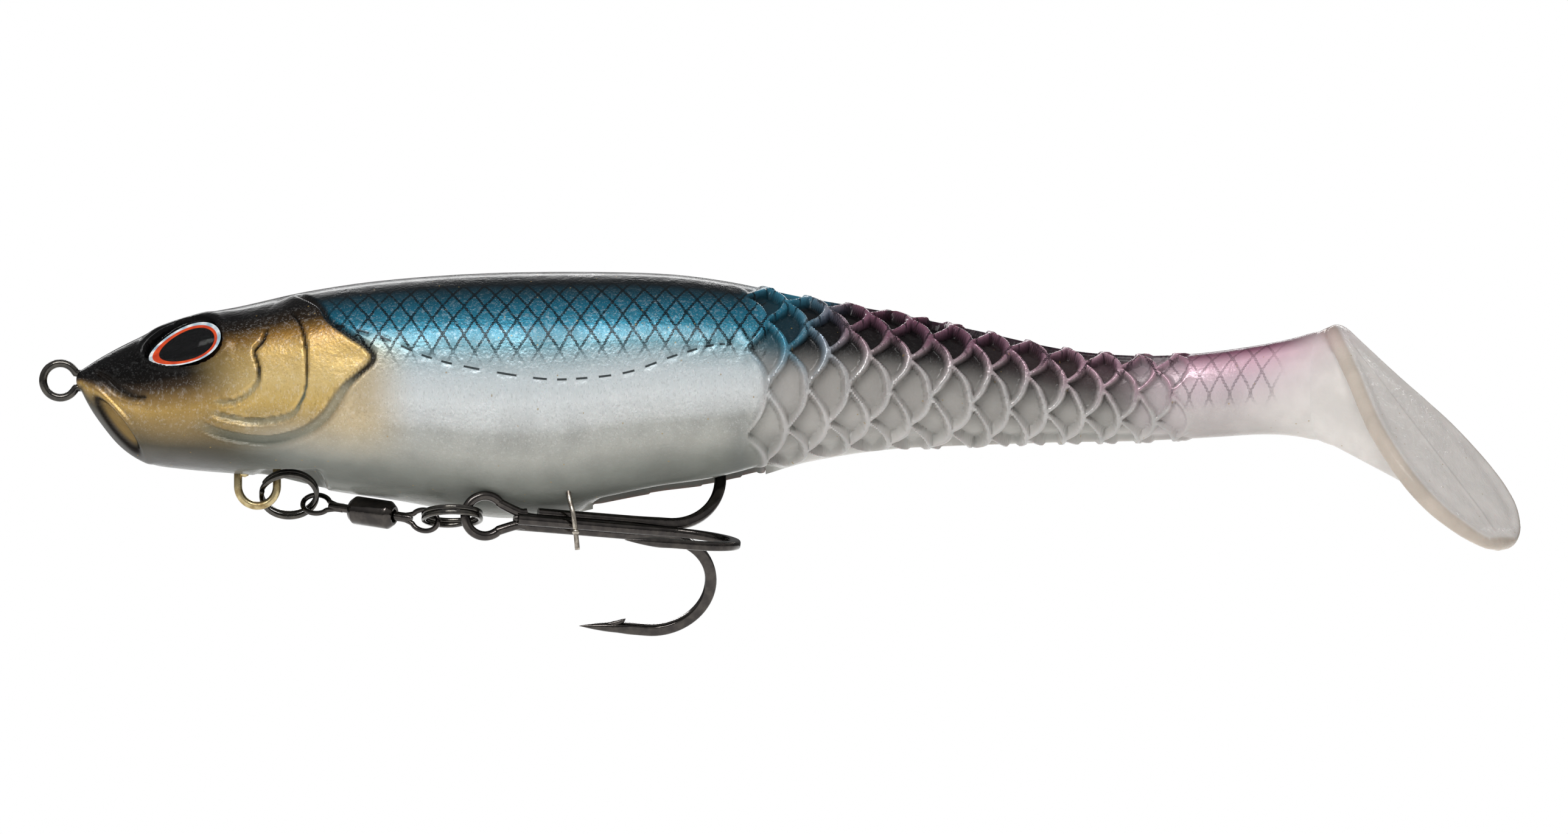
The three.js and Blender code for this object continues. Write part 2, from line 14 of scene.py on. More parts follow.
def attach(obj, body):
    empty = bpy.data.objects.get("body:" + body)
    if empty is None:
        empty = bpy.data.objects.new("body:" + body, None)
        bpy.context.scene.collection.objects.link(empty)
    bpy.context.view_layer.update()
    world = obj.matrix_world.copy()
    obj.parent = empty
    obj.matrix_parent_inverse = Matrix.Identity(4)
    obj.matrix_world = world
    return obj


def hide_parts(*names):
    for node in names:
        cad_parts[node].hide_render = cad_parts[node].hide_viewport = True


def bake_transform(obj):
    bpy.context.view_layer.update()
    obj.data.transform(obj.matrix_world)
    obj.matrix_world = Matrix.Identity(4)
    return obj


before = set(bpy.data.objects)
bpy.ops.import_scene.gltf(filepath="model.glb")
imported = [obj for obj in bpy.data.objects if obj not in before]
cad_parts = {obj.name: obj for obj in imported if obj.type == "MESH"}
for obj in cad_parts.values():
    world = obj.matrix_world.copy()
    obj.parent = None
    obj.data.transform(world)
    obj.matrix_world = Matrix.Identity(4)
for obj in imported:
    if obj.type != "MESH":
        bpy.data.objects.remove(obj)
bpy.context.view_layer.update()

MM = 0.001

# ---------------------------------------------------------------- sizes shared with the CAD part

BACK = [(3, 1.5), (6, 3.4), (10, 5.5), (17, 8.6), (25.5, 10.4), (34, 12.3), (44, 13.8),
        (57, 14.8), (70, 15.1), (84, 14.8), (93, 13.7), (103, 11.6), (115, 9.5), (127, 7),
        (139, 4.4), (148, 3.5), (156, 3.6), (164, 4.5), (171, 5.8), (177, 7.6)]
BELLY = [(3, -1.5), (5.2, -4.8), (8.5, -9), (12, -11.4), (17, -12.3), (25, -13), (29, -13.4),
         (37, -15.2), (47, -16.7), (54, -18), (60, -19), (65, -19.1), (70, -18.7), (76, -17.4),
         (83, -16), (90, -15), (97, -13.3), (104, -11.3), (115, -9.6), (127, -9), (139, -8.6),
         (150, -8.4), (160, -7.9), (167, -7.5), (172, -7.8), (177, -9)]
HALF_WIDTH = [(3, 1.5), (6, 3), (10, 4.7), (17, 7.2), (25, 9.4), (35, 11.2), (50, 12.1),
              (65, 12), (80, 11.4), (95, 10.2), (110, 8.6), (125, 7), (140, 5.4), (150, 4.5),
              (160, 3.7), (170, 2.9), (177, 2.3)]
WIDEST = [(3, 0), (10, -1.6), (25, -1), (60, -1.5), (100, 0), (130, -0.8), (150, -2.4),
          (177, -1)]
BACK_ROUNDNESS = 0.92
BELLY_ROUNDNESS = 0.8
LEAN_START, LEAN_END, LEAN_SLOPE = 140, 178, math.tan(math.radians(30))
TAIL_HINGES = (103, 115, 127, 139, 151)
SLOT_LOW = (74.6, -0.9)
SLOT_HIGH = (98, 4.5)
SLOT_ROOF = -3.8
SLOT_PLAY = 0.6  # the skin's slot is this much roomier than the CAD one
RING_HOLLOW = (32.0, -12.3)


def curve(table, x):
    """Smooth curve through (x, value) rows."""
    xs, values = np.array(table, float).T
    slope = np.gradient(values, xs)
    slope[1:-1] = (values[2:] - values[:-2]) / (xs[2:] - xs[:-2])
    i = np.clip(np.searchsorted(xs, x, side="right") - 1, 0, len(xs) - 2)
    h = xs[i + 1] - xs[i]
    u = np.clip((x - xs[i]) / h, 0, 1)
    return (values[i] * (2 * u ** 3 - 3 * u ** 2 + 1) + values[i + 1] * (3 * u ** 2 - 2 * u ** 3)
            + h * slope[i] * (u ** 3 - 2 * u ** 2 + u) + h * slope[i + 1] * (u ** 3 - u ** 2))


def section(x, turn):
    """Sideways offset and level of the plain body at station x and turn, from the far side up."""
    middle = curve(WIDEST, x)
    c, s = np.cos(turn), np.sin(turn)
    upper = s >= 0
    power = np.where(upper, BACK_ROUNDNESS, BELLY_ROUNDNESS)
    height = np.where(upper, curve(BACK, x) - middle, middle - curve(BELLY, x))
    offset = curve(HALF_WIDTH, x) * np.sign(c) * np.abs(c) ** power
    return offset, middle + height * np.sign(s) * np.abs(s) ** power


def lean_over(places):
    """Bends straight-tail places (n, 3) round the lean of the tail."""
    x, offset, z = places.T
    length = LEAN_END - LEAN_START
    u = np.maximum((x - LEAN_START) / length, 0)
    c = np.minimum(u, 1)
    y = -LEAN_SLOPE * length * (c ** 3 - c ** 4 / 2 + np.maximum(u - 1, 0))
    angle = np.arctan(LEAN_SLOPE * (3 * c ** 2 - 2 * c ** 3))
    return np.stack([x + offset * np.sin(angle), y + offset * np.cos(angle), z], axis=1)


def ease(low, high, value):
    """0 below low, 1 above high, smooth between."""
    u = np.clip((value - low) / (high - low), 0, 1)
    return u * u * (3 - 2 * u)


def bump(value, width):
    """1 at zero, falling off over the width."""
    return np.exp(-((value / width) ** 2))


def smooth_line(points, steps=8):
    """Catmull-Rom line through the points, any number of coordinates."""
    p = np.array(points, float)
    p = np.vstack([2 * p[0] - p[1], p, 2 * p[-1] - p[-2]])
    out = []
    for a, b, c, d in zip(p, p[1:], p[2:], p[3:]):
        for u in np.arange(steps) / steps:
            out.append(0.5 * (2 * b + (c - a) * u + (2 * a - 5 * b + 4 * c - d) * u ** 2
                              + (3 * b - a - 3 * c + d) * u ** 3))
    out.append(p[-2])
    return np.array(out)


def from_line(line, x, z):
    """Distance from a line in the side view, positive on its nose side, and the share along it."""
    best = np.full(x.shape, 1e9)
    signed = np.zeros(x.shape)
    share = np.zeros(x.shape)
    for i, ((ax, az), (bx, bz)) in enumerate(zip(line, line[1:])):
        dx, dz = bx - ax, bz - az
        u = np.clip(((x - ax) * dx + (z - az) * dz) / (dx * dx + dz * dz), 0, 1)
        ox, oz = x - ax - u * dx, z - az - u * dz
        far = np.hypot(ox, oz)
        nearer = far < best
        side = np.where(dx * oz - dz * ox < 0, 1, -1)
        best = np.where(nearer, far, best)
        signed = np.where(nearer, side * far, signed)
        share = np.where(nearer, (i + u) / (len(line) - 1), share)
    return signed, share


# ---------------------------------------------------------------- relief of the head

GILL_COVER = smooth_line([
    (31.2, 12.6), (32.3, 11.8), (35.8, 10.1), (37.1, 8.1), (39.7, 6.2), (42.2, 4.5),
    (43.1, 3.1), (41.2, 1.2), (39.3, -0.3), (37.8, -2.2), (36.1, -4.6), (33.4, -6.5),
    (29.2, -7.6), (24.5, -7.2), (20.6, -6), (18.5, -4.3)])
GILL_MIDDLE = smooth_line([
    (30.9, 10.3), (33.2, 7.6), (34, 4.1), (34, -0.6), (33, -3.3), (31.1, -4.6), (27.2, -5.1),
    (23, -4.5), (20.2, -3.5)])
GILL_INNER = smooth_line([
    (28.8, 7.8), (28, 5.6), (26.8, 4.1), (27.4, 1.7), (27, -0.2), (25.3, -1.9), (23, -2.7),
    (20.8, -2.4)])
CHEEK_LINE = smooth_line([(4.6, 1.4), (6.3, 0.4), (7.8, -1), (9.8, -2.1), (12.1, -2.4)])
MOUTH = dict(middle=(8.0, -6.1), along=(0.62, -0.785), long=4.7, wide=0.95)
EYE = dict(x=17.1, z=5.05, tilt=15, long=5.35, high=2.95, blunt=0.24, dome=1.15, floor=-1.3)


def mouth_ring(x, z):
    """0 in the middle of the mouth's recess, 1 on its rim."""
    (mx, mz), (ax, az) = MOUTH["middle"], MOUTH["along"]
    a = ((x - mx) * ax + (z - mz) * az) / MOUTH["long"]
    b = ((x - mx) * -az + (z - mz) * ax) / MOUTH["wide"]
    return np.sqrt(a * a + b * b)


def head_relief(x, z):
    """Height of the moulded head over its plain shape, and how much paint its lines take."""
    height = np.zeros_like(x)
    dark = np.zeros_like(x)

    for line, depth, rise, narrow, broad, fade in (
            (GILL_COVER, 0.55, 0.5, 0.4, 0.75, 3.2), (GILL_MIDDLE, 0.35, 0.25, 0.2, 0.5, 1.8),
            (GILL_INNER, 0.35, 0.3, 0.22, 0.42, 1.8)):
        signed, share = from_line(line, x, z)
        ends = ease(0, 0.08, share) * ease(1, 0.88, share)
        lower = ease(0.45, 0.6, share)
        half = narrow + (broad - narrow) * lower
        plate = np.where(signed > 0, np.exp(-signed / fade), 0) * ease(-0.1, 0.2, signed)
        groove = ease(half * 1.15, half * 0.6, np.abs(signed + half))
        height += ends * (rise * plate - depth * groove)
        height += 0.35 * lower * ends * broad * bump(signed + 2 * half + 0.5, 0.5)
        dark += ends * groove * (1 - 0.5 * lower)

    signed, share = from_line(CHEEK_LINE, x, z)
    width = 0.35 + 0.35 * np.sin(np.pi * share)
    line = np.exp(-((signed / width) ** 2)) * ease(0, 0.05, share) * ease(1, 0.95, share)
    height -= 0.55 * line
    height += 0.25 * bump(signed - 1.1, 0.6) * ease(0, 0.2, share) * ease(1, 0.8, share)
    dark += 1.1 * line

    ring = mouth_ring(x, z)
    height -= 0.8 * ease(1.05, 0.7, ring)
    height += 0.5 * bump(ring - 1.4, 0.32)
    dark += 1.1 * bump(ring - 0.97, 0.14)

    tilt = math.radians(EYE["tilt"])
    ex, ez = x - EYE["x"], z - EYE["z"]
    a = (ex * math.cos(tilt) + ez * math.sin(tilt)) / EYE["long"]
    b = (ez * math.cos(tilt) - ex * math.sin(tilt)) / EYE["high"]
    b = b / (1 + EYE["blunt"] * np.clip(a, -1.3, 1.3))
    ring = np.sqrt(a * a + b * b)
    height -= 2.4 * ease(1.04, 0.99, ring)
    height += 0.35 * bump(ring - 1.16, 0.13)
    height += 0.3 * bump(ring - 1.3, 0.4) * ease(-0.2, 0.8, b)
    return height, np.clip(dark, 0, 1)


# ---------------------------------------------------------------- scale pockets of the rear half

ROW_TURN = [(92, 38), (101, 40), (115, 42), (131, 48), (141, 44), (152, 39), (160, 38)]
ROW_STEP = [(92, 20.5), (101, 21), (115, 22.5), (131, 32), (150, 33), (160, 33)]
POCKET_PHASE = [(92.2, -1), (126.5, 5), (157.8, 11)]
RIDGE_HALF, RIDGE_SIDE, POCKET_DEPTH, RIDGE_RISE = 0.22, 0.42, 1.15, 0.45


def pockets(x, turn):
    """Relief of the raised net of scales: height, ridge share, pocket share, row coordinate."""
    side_turn = np.degrees(np.arcsin(np.clip(np.sin(turn), -1, 1)))
    row = (curve(ROW_TURN, x) - side_turn) / curve(ROW_STEP, x)
    row = np.where(row > 2, 2 + (row - 2) / 1.25, row)
    phase_x, phase = np.array(POCKET_PHASE, float).T
    along = np.interp(x, phase_x, phase) - 0.13 * np.abs(np.sin(math.pi * row))
    pitch = np.interp(x, phase_x[:2] + 17, (5.72, 5.22))
    tall = np.where(row > 2, 1.25, 1) * 3.75
    slant = np.hypot(1 / pitch, 0.5 / tall)
    down = along - row / 2
    up = along + row / 2
    near = np.minimum(np.abs(down - np.round(down)), np.abs(up - np.round(up))) / slant
    # Middle of the cell each place is in, to switch whole cells on and off.
    cell_along = (np.floor(down) + np.floor(up) + 1) / 2
    cell_x = np.interp(cell_along, phase, phase_x)
    front = 95.8 + 0.8 * np.clip(row - 2, 0, 3)
    on = (cell_x > front) & (cell_x < 156.5)
    deep = np.where(on, 1, 0) * np.interp(cell_x, (97, 103, 140, 150, 156), (0.7, 1, 1, 0.7, 0.35))
    wall = ease(RIDGE_HALF, RIDGE_HALF + RIDGE_SIDE, near)
    zone = ease(93.5, 97.5, x) * ease(159.5, 155, x)
    edge = ease(RIDGE_HALF + 0.3, 0, near)
    ridge = edge * zone
    crown = np.sqrt(np.clip(1 - (near / (RIDGE_HALF + 0.4)) ** 2, 0, 1))
    # The relief stops short of the middle plane, so a plain strip runs along back and belly.
    keel = ease(0.4, 0.9, np.abs(curve(HALF_WIDTH, x) * np.cos(turn)))
    belly_fade = ease(5.2, 4.2, row)
    height = (RIDGE_RISE * crown * zone - POCKET_DEPTH * wall * deep) * keel * belly_fade
    return height, ridge * belly_fade, wall * deep * keel * belly_fade, row


LATERAL = smooth_line([
    (37.7, 8), (44.5, 6.1), (50.4, 3.5), (56.5, 1.9), (66.4, 0.3), (72.3, 0.3), (79, 1.2),
    (85.2, 3.4), (90.5, 4.9), (93.6, 5.1)])
LATERAL_LONG, LATERAL_PITCH = 59, 3.2


def lateral_dashes(x, z):
    """Distance from the row of short cuts along the side, count along it, and 1 beside it."""
    signed, share = from_line(LATERAL, x, z)
    run = share * LATERAL_LONG / LATERAL_PITCH
    return signed, run, ease(0, 0.01, share) * ease(1, 0.99, share)


# ---------------------------------------------------------------- paint of the soft body

def srgb(*rgb):
    c = np.array(rgb, float) / 255
    return np.where(c <= 0.04045, c / 12.92, ((c + 0.055) / 1.055) ** 2.4)


def ramp(level, stops):
    """Colour at each level, from (level, (r, g, b)) stops in display values."""
    at = [stop for stop, _ in stops]
    colours = np.array([srgb(*colour) for _, colour in stops])
    return np.stack([np.interp(level, at, colours[:, k]) for k in range(3)], axis=-1)


def mix(a, b, share):
    share = np.clip(share, 0, 1)[..., None]
    return a * (1 - share) + np.asarray(b) * share


# Ramps from belly (level 0) to back (1): the fish's own paint, with painted light. Most ramps are darker
# at their low stops as painted shade on the underside, and the torso's silver middle band is partly
# painted sheen.
HEAD_RAMP = [(0, (92, 93, 88)), (0.1, (72, 71, 62)), (0.2, (96, 89, 70)), (0.3, (148, 128, 84)),
             (0.42, (198, 168, 102)), (0.55, (208, 182, 124)), (0.7, (188, 158, 98)),
             (0.79, (132, 98, 46)), (0.86, (40, 29, 17)), (0.92, (9, 8, 8)), (1, (6, 6, 6))]
SNOUT_RAMP = [(0, (112, 112, 112)), (0.14, (80, 76, 66)), (0.3, (140, 118, 78)),
              (0.4, (168, 138, 80)), (0.48, (134, 108, 68)), (0.56, (62, 49, 36)),
              (0.63, (17, 14, 12)), (0.72, (8, 7, 7)), (1, (6, 6, 7))]
TORSO_RAMP = [(0, (126, 127, 122)), (0.06, (98, 100, 95)), (0.14, (122, 124, 118)),
              (0.24, (156, 156, 150)), (0.33, (158, 159, 155)), (0.37, (184, 186, 185)),
              (0.46, (208, 212, 213)), (0.56, (194, 202, 205)), (0.63, (156, 172, 177)),
              (0.7, (92, 130, 141)), (0.78, (40, 102, 122)), (0.86, (22, 86, 108)),
              (0.91, (14, 54, 68)), (0.95, (9, 18, 23)), (0.98, (6, 7, 9)), (1, (5, 5, 6))]
TAIL_RAMP = [(0, (184, 182, 178)), (0.3, (180, 176, 172)), (0.55, (168, 162, 160)),
             (0.75, (148, 132, 136)), (0.88, (112, 82, 98)), (0.96, (70, 44, 58)),
             (1, (46, 30, 40))]
WRIST_RAMP = [(0, (164, 158, 156)), (0.3, (184, 176, 175)), (0.6, (196, 178, 185)),
              (0.85, (196, 160, 174)), (0.95, (120, 78, 96)), (1, (70, 42, 54))]
PADDLE_COLOUR = srgb(208, 203, 199)
RIM_COLOUR = srgb(184, 173, 162)


def neck_fade(x, level):
    """How far the neck's tint has turned into the plain plastic of the paddle."""
    return ease(164, 181, x - 4 + 9 * (1 - level))


def skin_paint(x, z, level, pocket, ridge, row, dark):
    """Base colour, with its painted shade and highlight, and masks (net, pearl, clear) of the soft body.
    """
    head = mix(ramp(level, SNOUT_RAMP), ramp(level, HEAD_RAMP), ease(17, 30, x))
    torso = ramp(level, TORSO_RAMP)
    torso = mix(torso, srgb(184, 160, 112), 0.8 * ease(50, 41, x) * ease(0.12, 0.42, level)
                * ease(0.8, 0.6, level))
    signed, _ = from_line(GILL_COVER, x, z)
    crisp = ease(-0.25, 0.25, signed) * ease(46, 44, x)
    soft = ease(33, 22, x)
    in_head = crisp + (soft - crisp) * np.maximum(ease(-3, -8, z), ease(24, 20, x))
    paint = mix(torso, head, in_head)

    tail = ramp(level, TAIL_RAMP)
    blue = srgb(52, 122, 146)
    tail = mix(tail, blue, ease(112, 100, x) * ease(0.5, 0.7, level))
    paint = mix(paint, tail, ease(94, 105, x))
    paint = mix(paint, ramp(level, WRIST_RAMP), ease(150, 160, x))
    paint = mix(paint, PADDLE_COLOUR, neck_fade(x, level))

    scales = ease(93, 98, x) * ease(160, 155, x)
    # Pocket floors: their own tint darkened by painted shade in the hollows, near black in the upper
    # rows.
    upper = ease(2.0, 0.6, row)
    inside = mix(srgb(150, 147, 143) * np.ones_like(paint), srgb(12, 11, 11), upper)
    inside = mix(inside, srgb(62, 51, 52), ease(120, 150, x) * upper)
    inside = mix(inside, srgb(180, 168, 172), ease(146, 154, x))
    paint = mix(paint, inside, pocket * (0.5 + 0.48 * ease(3.2, 1.6, row)))
    # Ridge crests in the fish's own tints, painted lighter as highlight, most of all on the dark upper
    # rows.
    crest = mix(srgb(170, 168, 167) * np.ones_like(paint), srgb(44, 104, 126),
                ease(112, 101, x) * ease(2.4, 0.6, row))
    crest = mix(crest, srgb(116, 78, 96), ease(103, 112, x) * ease(1.6, 0.2, row))
    crest = mix(crest, srgb(166, 132, 146), ease(120, 150, x) * ease(1.8, 0.4, row))
    paint = mix(paint, crest, ridge * scales * 0.9)

    paint = mix(paint, srgb(150, 122, 70), 0.8 * ease(0.95, 0.7, mouth_ring(x, z)))
    ink = mix(srgb(20, 15, 11) * np.ones_like(paint), srgb(112, 120, 110), ease(1.5, -2, z)
              * ease(14, 19, x))
    paint = mix(paint, ink, dark * 0.95)

    # The hook's upper arm shows through the clear belly as a faint shadow.
    shadow = bump(x - 94.5, 1.6) * ease(-15, -13, z) * ease(-3, -7, z)
    paint = mix(paint, srgb(96, 98, 98), 0.35 * shadow)

    net = ease(31, 42, x) * ease(0.6, 0.72, level) * (1 - in_head)
    net = np.where(x > 98, 0.85 * ease(1.0, 0.2, row) * (1 - pocket), net)
    net = np.where(x > 155, 0.45 * ease(0.3, 0.5, level) * ease(172, 168, x), net)
    pearl = 0.02 + 0.78 * ease(0.12, 0.4, level) * ease(0.96, 0.84, level)
    pearl = pearl * (1 - 0.85 * in_head * ease(0.5, 0.66, level) * ease(27, 20, x))
    pearl = pearl * (1 - 0.75 * pocket) * (1 - 0.6 * dark)
    pearl = np.where(x > 98, pearl * (0.35 + 0.65 * ridge * ease(3.4, 2, row)), pearl)
    pearl = pearl * ease(172, 162, x)
    clear = np.clip(ease(0.3, 0.08, level) + ease(96, 104, x) * (1 - 0.5 * ridge), 0, 1)
    return paint, np.stack([net, pearl, clear, np.ones_like(net)], axis=-1)


# ---------------------------------------------------------------- mesh making

scene = bpy.context.scene


def make_mesh(name, places, faces, material, slot, sharp=None, attributes=None):
    """Smooth-shaded object from places in millimetres."""
    mesh = bpy.data.meshes.new(name)
    mesh.from_pydata((np.asarray(places, float) * MM).tolist(), [], [list(map(int, f)) for f in faces])
    for label, kind, values in attributes or ():
        layer = mesh.attributes.new(label, kind, "POINT")
        key = "vector" if kind == "FLOAT_VECTOR" else "color"
        layer.data.foreach_set(key, np.asarray(values, np.float32).ravel())
    mesh.materials.append(material)
    mesh.shade_smooth()
    if sharp:
        mesh.set_sharp_from_angle(angle=math.radians(sharp))
    obj = bpy.data.objects.new(name, mesh)
    scene.collection.objects.link(obj)
    return obj


def grid_faces(rows, columns):
    """Quads of a grid whose columns close on themselves."""
    i = np.arange(rows - 1)[:, None]
    j = np.arange(columns)[None, :]
    k = (j + 1) % columns
    return np.stack([i * columns + j, i * columns + k, (i + 1) * columns + k,
                     (i + 1) * columns + j], axis=-1).reshape(-1, 4)


def tube(path, size, sides=14, normal=None, shape=None):
    """Places and faces of a swept wire. size is a radius or one per point."""
    path = np.asarray(path, float)
    count = len(path)
    size = np.broadcast_to(np.asarray(size, float), (count,))
    ahead = np.roll(path, -1, axis=0) - path
    behind = path - np.roll(path, 1, axis=0)
    ahead[-1], behind[0] = behind[-1], ahead[0]
    along = ahead / np.linalg.norm(ahead, axis=1)[:, None]
    along += behind / np.linalg.norm(behind, axis=1)[:, None]
    along /= np.linalg.norm(along, axis=1)[:, None]
    if normal is None:
        seed = np.array((0, 0, 1.0)) if abs(along[0][2]) < 0.8 else np.array((0, 1.0, 0))
        normals = []
        for direction in along:
            seed = seed - direction * seed.dot(direction)
            seed = seed / np.linalg.norm(seed)
            normals.append(seed)
        normals = np.array(normals)
    else:
        normals = np.asarray(normal, float) - along * (along @ np.asarray(normal, float))[:, None]
        normals /= np.linalg.norm(normals, axis=1)[:, None]
    across = np.cross(along, normals)
    turn = 2 * math.pi * np.arange(sides) / sides
    places = []
    for k in range(count):
        a, b = shape(k, turn) if shape else (np.cos(turn), np.sin(turn))
        places.append(path[k] + size[k] * (a[:, None] * normals[k] + b[:, None] * across[k]))
    places = np.concatenate(places)
    faces = grid_faces(count, sides).tolist()
    faces.append(list(range(sides))[::-1])
    faces.append([(count - 1) * sides + j for j in range(sides)])
    return places, faces


def lathe(profile, sides):
    """Places and faces of a turned piece: profile of (distance along, radius), closed by itself."""
    profile = np.asarray(profile, float)
    turn = 2 * math.pi * np.arange(sides) / sides
    rings = [np.stack([np.full(sides, a), r * np.cos(turn), r * np.sin(turn)], axis=1)
             for a, r in profile]
    return np.concatenate(rings), grid_faces(len(profile), sides).tolist()


def joined(*pieces):
    """One set of places and faces from several."""
    places, faces, start = [], [], 0
    for some, theirs in pieces:
        places.append(np.asarray(some, float))
        faces += [[int(v) + start for v in face] for face in theirs]
        start += len(some)
    return np.concatenate(places), faces


def moved(piece, matrix):
    """A piece carried by a 4x4 matrix."""
    places, faces = piece
    matrix = np.array(matrix)
    return places @ matrix[:3, :3].T + matrix[:3, 3], faces


# ---------------------------------------------------------------- materials

class Graph:
    """Small helper that builds a node material around one Principled shader."""

    def __init__(self, name, **settings):
        self.material = bpy.data.materials.new(name)
        self.material.use_nodes = True
        self.tree = self.material.node_tree
        self.shader = self.tree.nodes["Principled BSDF"]
        for socket, value in settings.items():
            self.shader.inputs[socket.replace("_", " ")].default_value = value

    def node(self, kind, inputs=(), **settings):
        node = self.tree.nodes.new("ShaderNode" + kind)
        for key, value in settings.items():
            setattr(node, key, value)
        for key, value in dict(inputs).items():
            self.put(node.inputs[key], value)
        return node

    def put(self, socket, value):
        if isinstance(value, bpy.types.NodeSocket):
            self.tree.links.new(value, socket)
        else:
            socket.default_value = value

    def math(self, operation, a, b=0.0):
        return self.node("Math", {0: a, 1: b}, operation=operation).outputs[0]

    def remap(self, value, low, high, to_low=0.0, to_high=1.0):
        inputs = {"Value": value, "From Min": low, "From Max": high, "To Min": to_low,
                  "To Max": to_high}
        return self.node("MapRange", inputs, interpolation_type="SMOOTHSTEP").outputs[0]

    def blend(self, share, a, b, mode="MIX"):
        node = self.node("Mix", data_type="RGBA", blend_type=mode)
        self.put(node.inputs["Factor"], share)
        self.put(node.inputs[6], a)
        self.put(node.inputs[7], b)
        return node.outputs[2]

    def noise(self, vector, scale, detail=2.0):
        inputs = {"Vector": vector, "Scale": scale, "Detail": detail}
        return self.node("TexNoise", inputs).outputs["Fac"]

    def attribute(self, name, output="Vector"):
        return self.node("Attribute", attribute_name=name).outputs[output]

    def relief(self, height, distance, strength=1.0, below=None):
        node = self.node("Bump", {"Height": height, "Distance": distance, "Strength": strength})
        if below is not None:
            self.put(node.inputs["Normal"], below)
        return node.outputs[0]


def rgba(colour):
    return tuple(float(c) for c in colour) + (1.0,)


NET_WIDE, NET_TALL = 2.95, 4.8
WHITE = (1.0, 1.0, 1.0, 1.0)
BLACK = (0.0, 0.0, 0.0, 1.0)


def skin_material():
    """Painted, pearled and partly clear soft plastic under a gloss coat."""
    g = Graph("soft_plastic_paint", Coat_Weight=0.1, Coat_Roughness=0.06, IOR=1.4,
              Specular_IOR_Level=0.08, Subsurface_Weight=0.06, Subsurface_Scale=0.002)
    rest = g.attribute("rest")
    paint = g.attribute("paint", "Color")
    masks = g.node("SeparateColor", {"Color": g.attribute("masks", "Color")})
    net_share, pearl, clear = masks.outputs[0], masks.outputs[1], masks.outputs[2]
    split = g.node("SeparateXYZ", {0: rest})
    x, girth = split.outputs[0], split.outputs[1]

    cloud = g.noise(rest, 0.22, 4.0)
    paint = g.blend(g.remap(cloud, 0.3, 0.7, 0.0, 0.14), paint, BLACK)
    mottle = g.noise(rest, 1.6, 3.0)
    paint = g.blend(g.math("MULTIPLY", g.remap(mottle, 0.52, 0.75, 0.0, 0.12), pearl), paint, WHITE)

    # Metal flake: small cells, a few painted white as glints that catch the light and a few painted
    # darker as shade.
    flake = g.node("TexVoronoi", {"Vector": rest, "Scale": 6.0})
    cell = g.node("SeparateColor", {"Color": flake.outputs["Color"]})
    glint = g.math("MULTIPLY", g.remap(cell.outputs[0], 0.8, 1.0), pearl)
    paint = g.blend(g.math("MULTIPLY", glint, 0.13), paint, WHITE)
    shade = g.math("MULTIPLY", g.remap(cell.outputs[1], 0.75, 1.0), pearl)
    paint = g.blend(g.math("MULTIPLY", shade, 0.16), paint, BLACK)

    # Printed net: two families of crossing lines, each of two strands that twist together.
    wobble = g.math("MULTIPLY", g.math("SUBTRACT", g.noise(rest, 0.5, 2.0), 0.5), 0.16)
    a = g.math("ADD", g.math("DIVIDE", x, NET_WIDE), wobble)
    b = g.math("DIVIDE", girth, NET_TALL)
    strands = []
    for first, second in ((g.math("ADD", a, b), g.math("SUBTRACT", a, b)),
                          (g.math("SUBTRACT", a, b), g.math("ADD", a, b))):
        place = g.math("SUBTRACT", g.math("FRACT", first), 0.5)
        twist = g.math("MULTIPLY", g.math("SINE", g.math("MULTIPLY", second, 6 * math.pi)), 0.045)
        left = g.math("ABSOLUTE", g.math("SUBTRACT", place, twist))
        right = g.math("ABSOLUTE", g.math("ADD", place, twist))
        strands.append(g.math("MINIMUM", left, right))
    near = g.math("MINIMUM", strands[0], strands[1])
    line = g.remap(near, 0.022, 0.048, 1.0, 0.0)
    broken = g.remap(g.noise(rest, 2.4, 1.0), 0.3, 0.5, 0.6, 1.0)
    line = g.math("MULTIPLY", g.math("MULTIPLY", line, broken), net_share)
    paint = g.blend(g.math("MULTIPLY", line, 0.97), paint, rgba(srgb(8, 13, 16)))

    # Row of short cuts along the side.
    marks = g.node("SeparateXYZ", {0: g.attribute("lateral")})
    across = g.math("ABSOLUTE", marks.outputs[0])
    phase = g.math("FRACT", marks.outputs[1])
    dash = g.math("MULTIPLY", g.remap(across, 0.1, 0.2, 1.0, 0.0), g.remap(phase, 0.52, 0.56, 1.0, 0.0))
    dash = g.math("MULTIPLY", g.math("MULTIPLY", dash, g.remap(phase, 0.0, 0.04)), marks.outputs[2])
    paint = g.blend(g.math("MULTIPLY", dash, 0.92), paint, rgba(srgb(26, 32, 34)))

    # A few gold specks cast into the clear plastic.
    speck = g.node("TexVoronoi", {"Vector": rest, "Scale": 1.1})
    tone = g.node("SeparateColor", {"Color": speck.outputs["Color"]})
    spot = g.math("MULTIPLY", g.remap(speck.outputs["Distance"], 0.1, 0.16, 1.0, 0.0),
                  g.remap(tone.outputs[0], 0.9, 0.92))
    paint = g.blend(g.math("MULTIPLY", spot, 0.6), paint, rgba(srgb(150, 124, 70)))

    g.put(g.shader.inputs["Base Color"], paint)
    g.put(g.shader.inputs["Metallic"], g.math("MULTIPLY", pearl, 0.5))
    rough = g.remap(cloud, 0.3, 0.7, 0.26, 0.4)
    g.put(g.shader.inputs["Roughness"], g.math("SUBTRACT", rough, g.math("MULTIPLY", clear, 0.08)))
    flakes = g.math("MULTIPLY", cell.outputs[2], pearl)
    normal = g.relief(flakes, 0.00003, 0.35)
    normal = g.relief(g.noise(rest, 2.4, 2.0), 0.00009, 0.5, normal)
    g.put(g.shader.inputs["Normal"], g.relief(g.noise(rest, 0.7, 2.0), 0.00014, 0.5, normal))
    return g.material


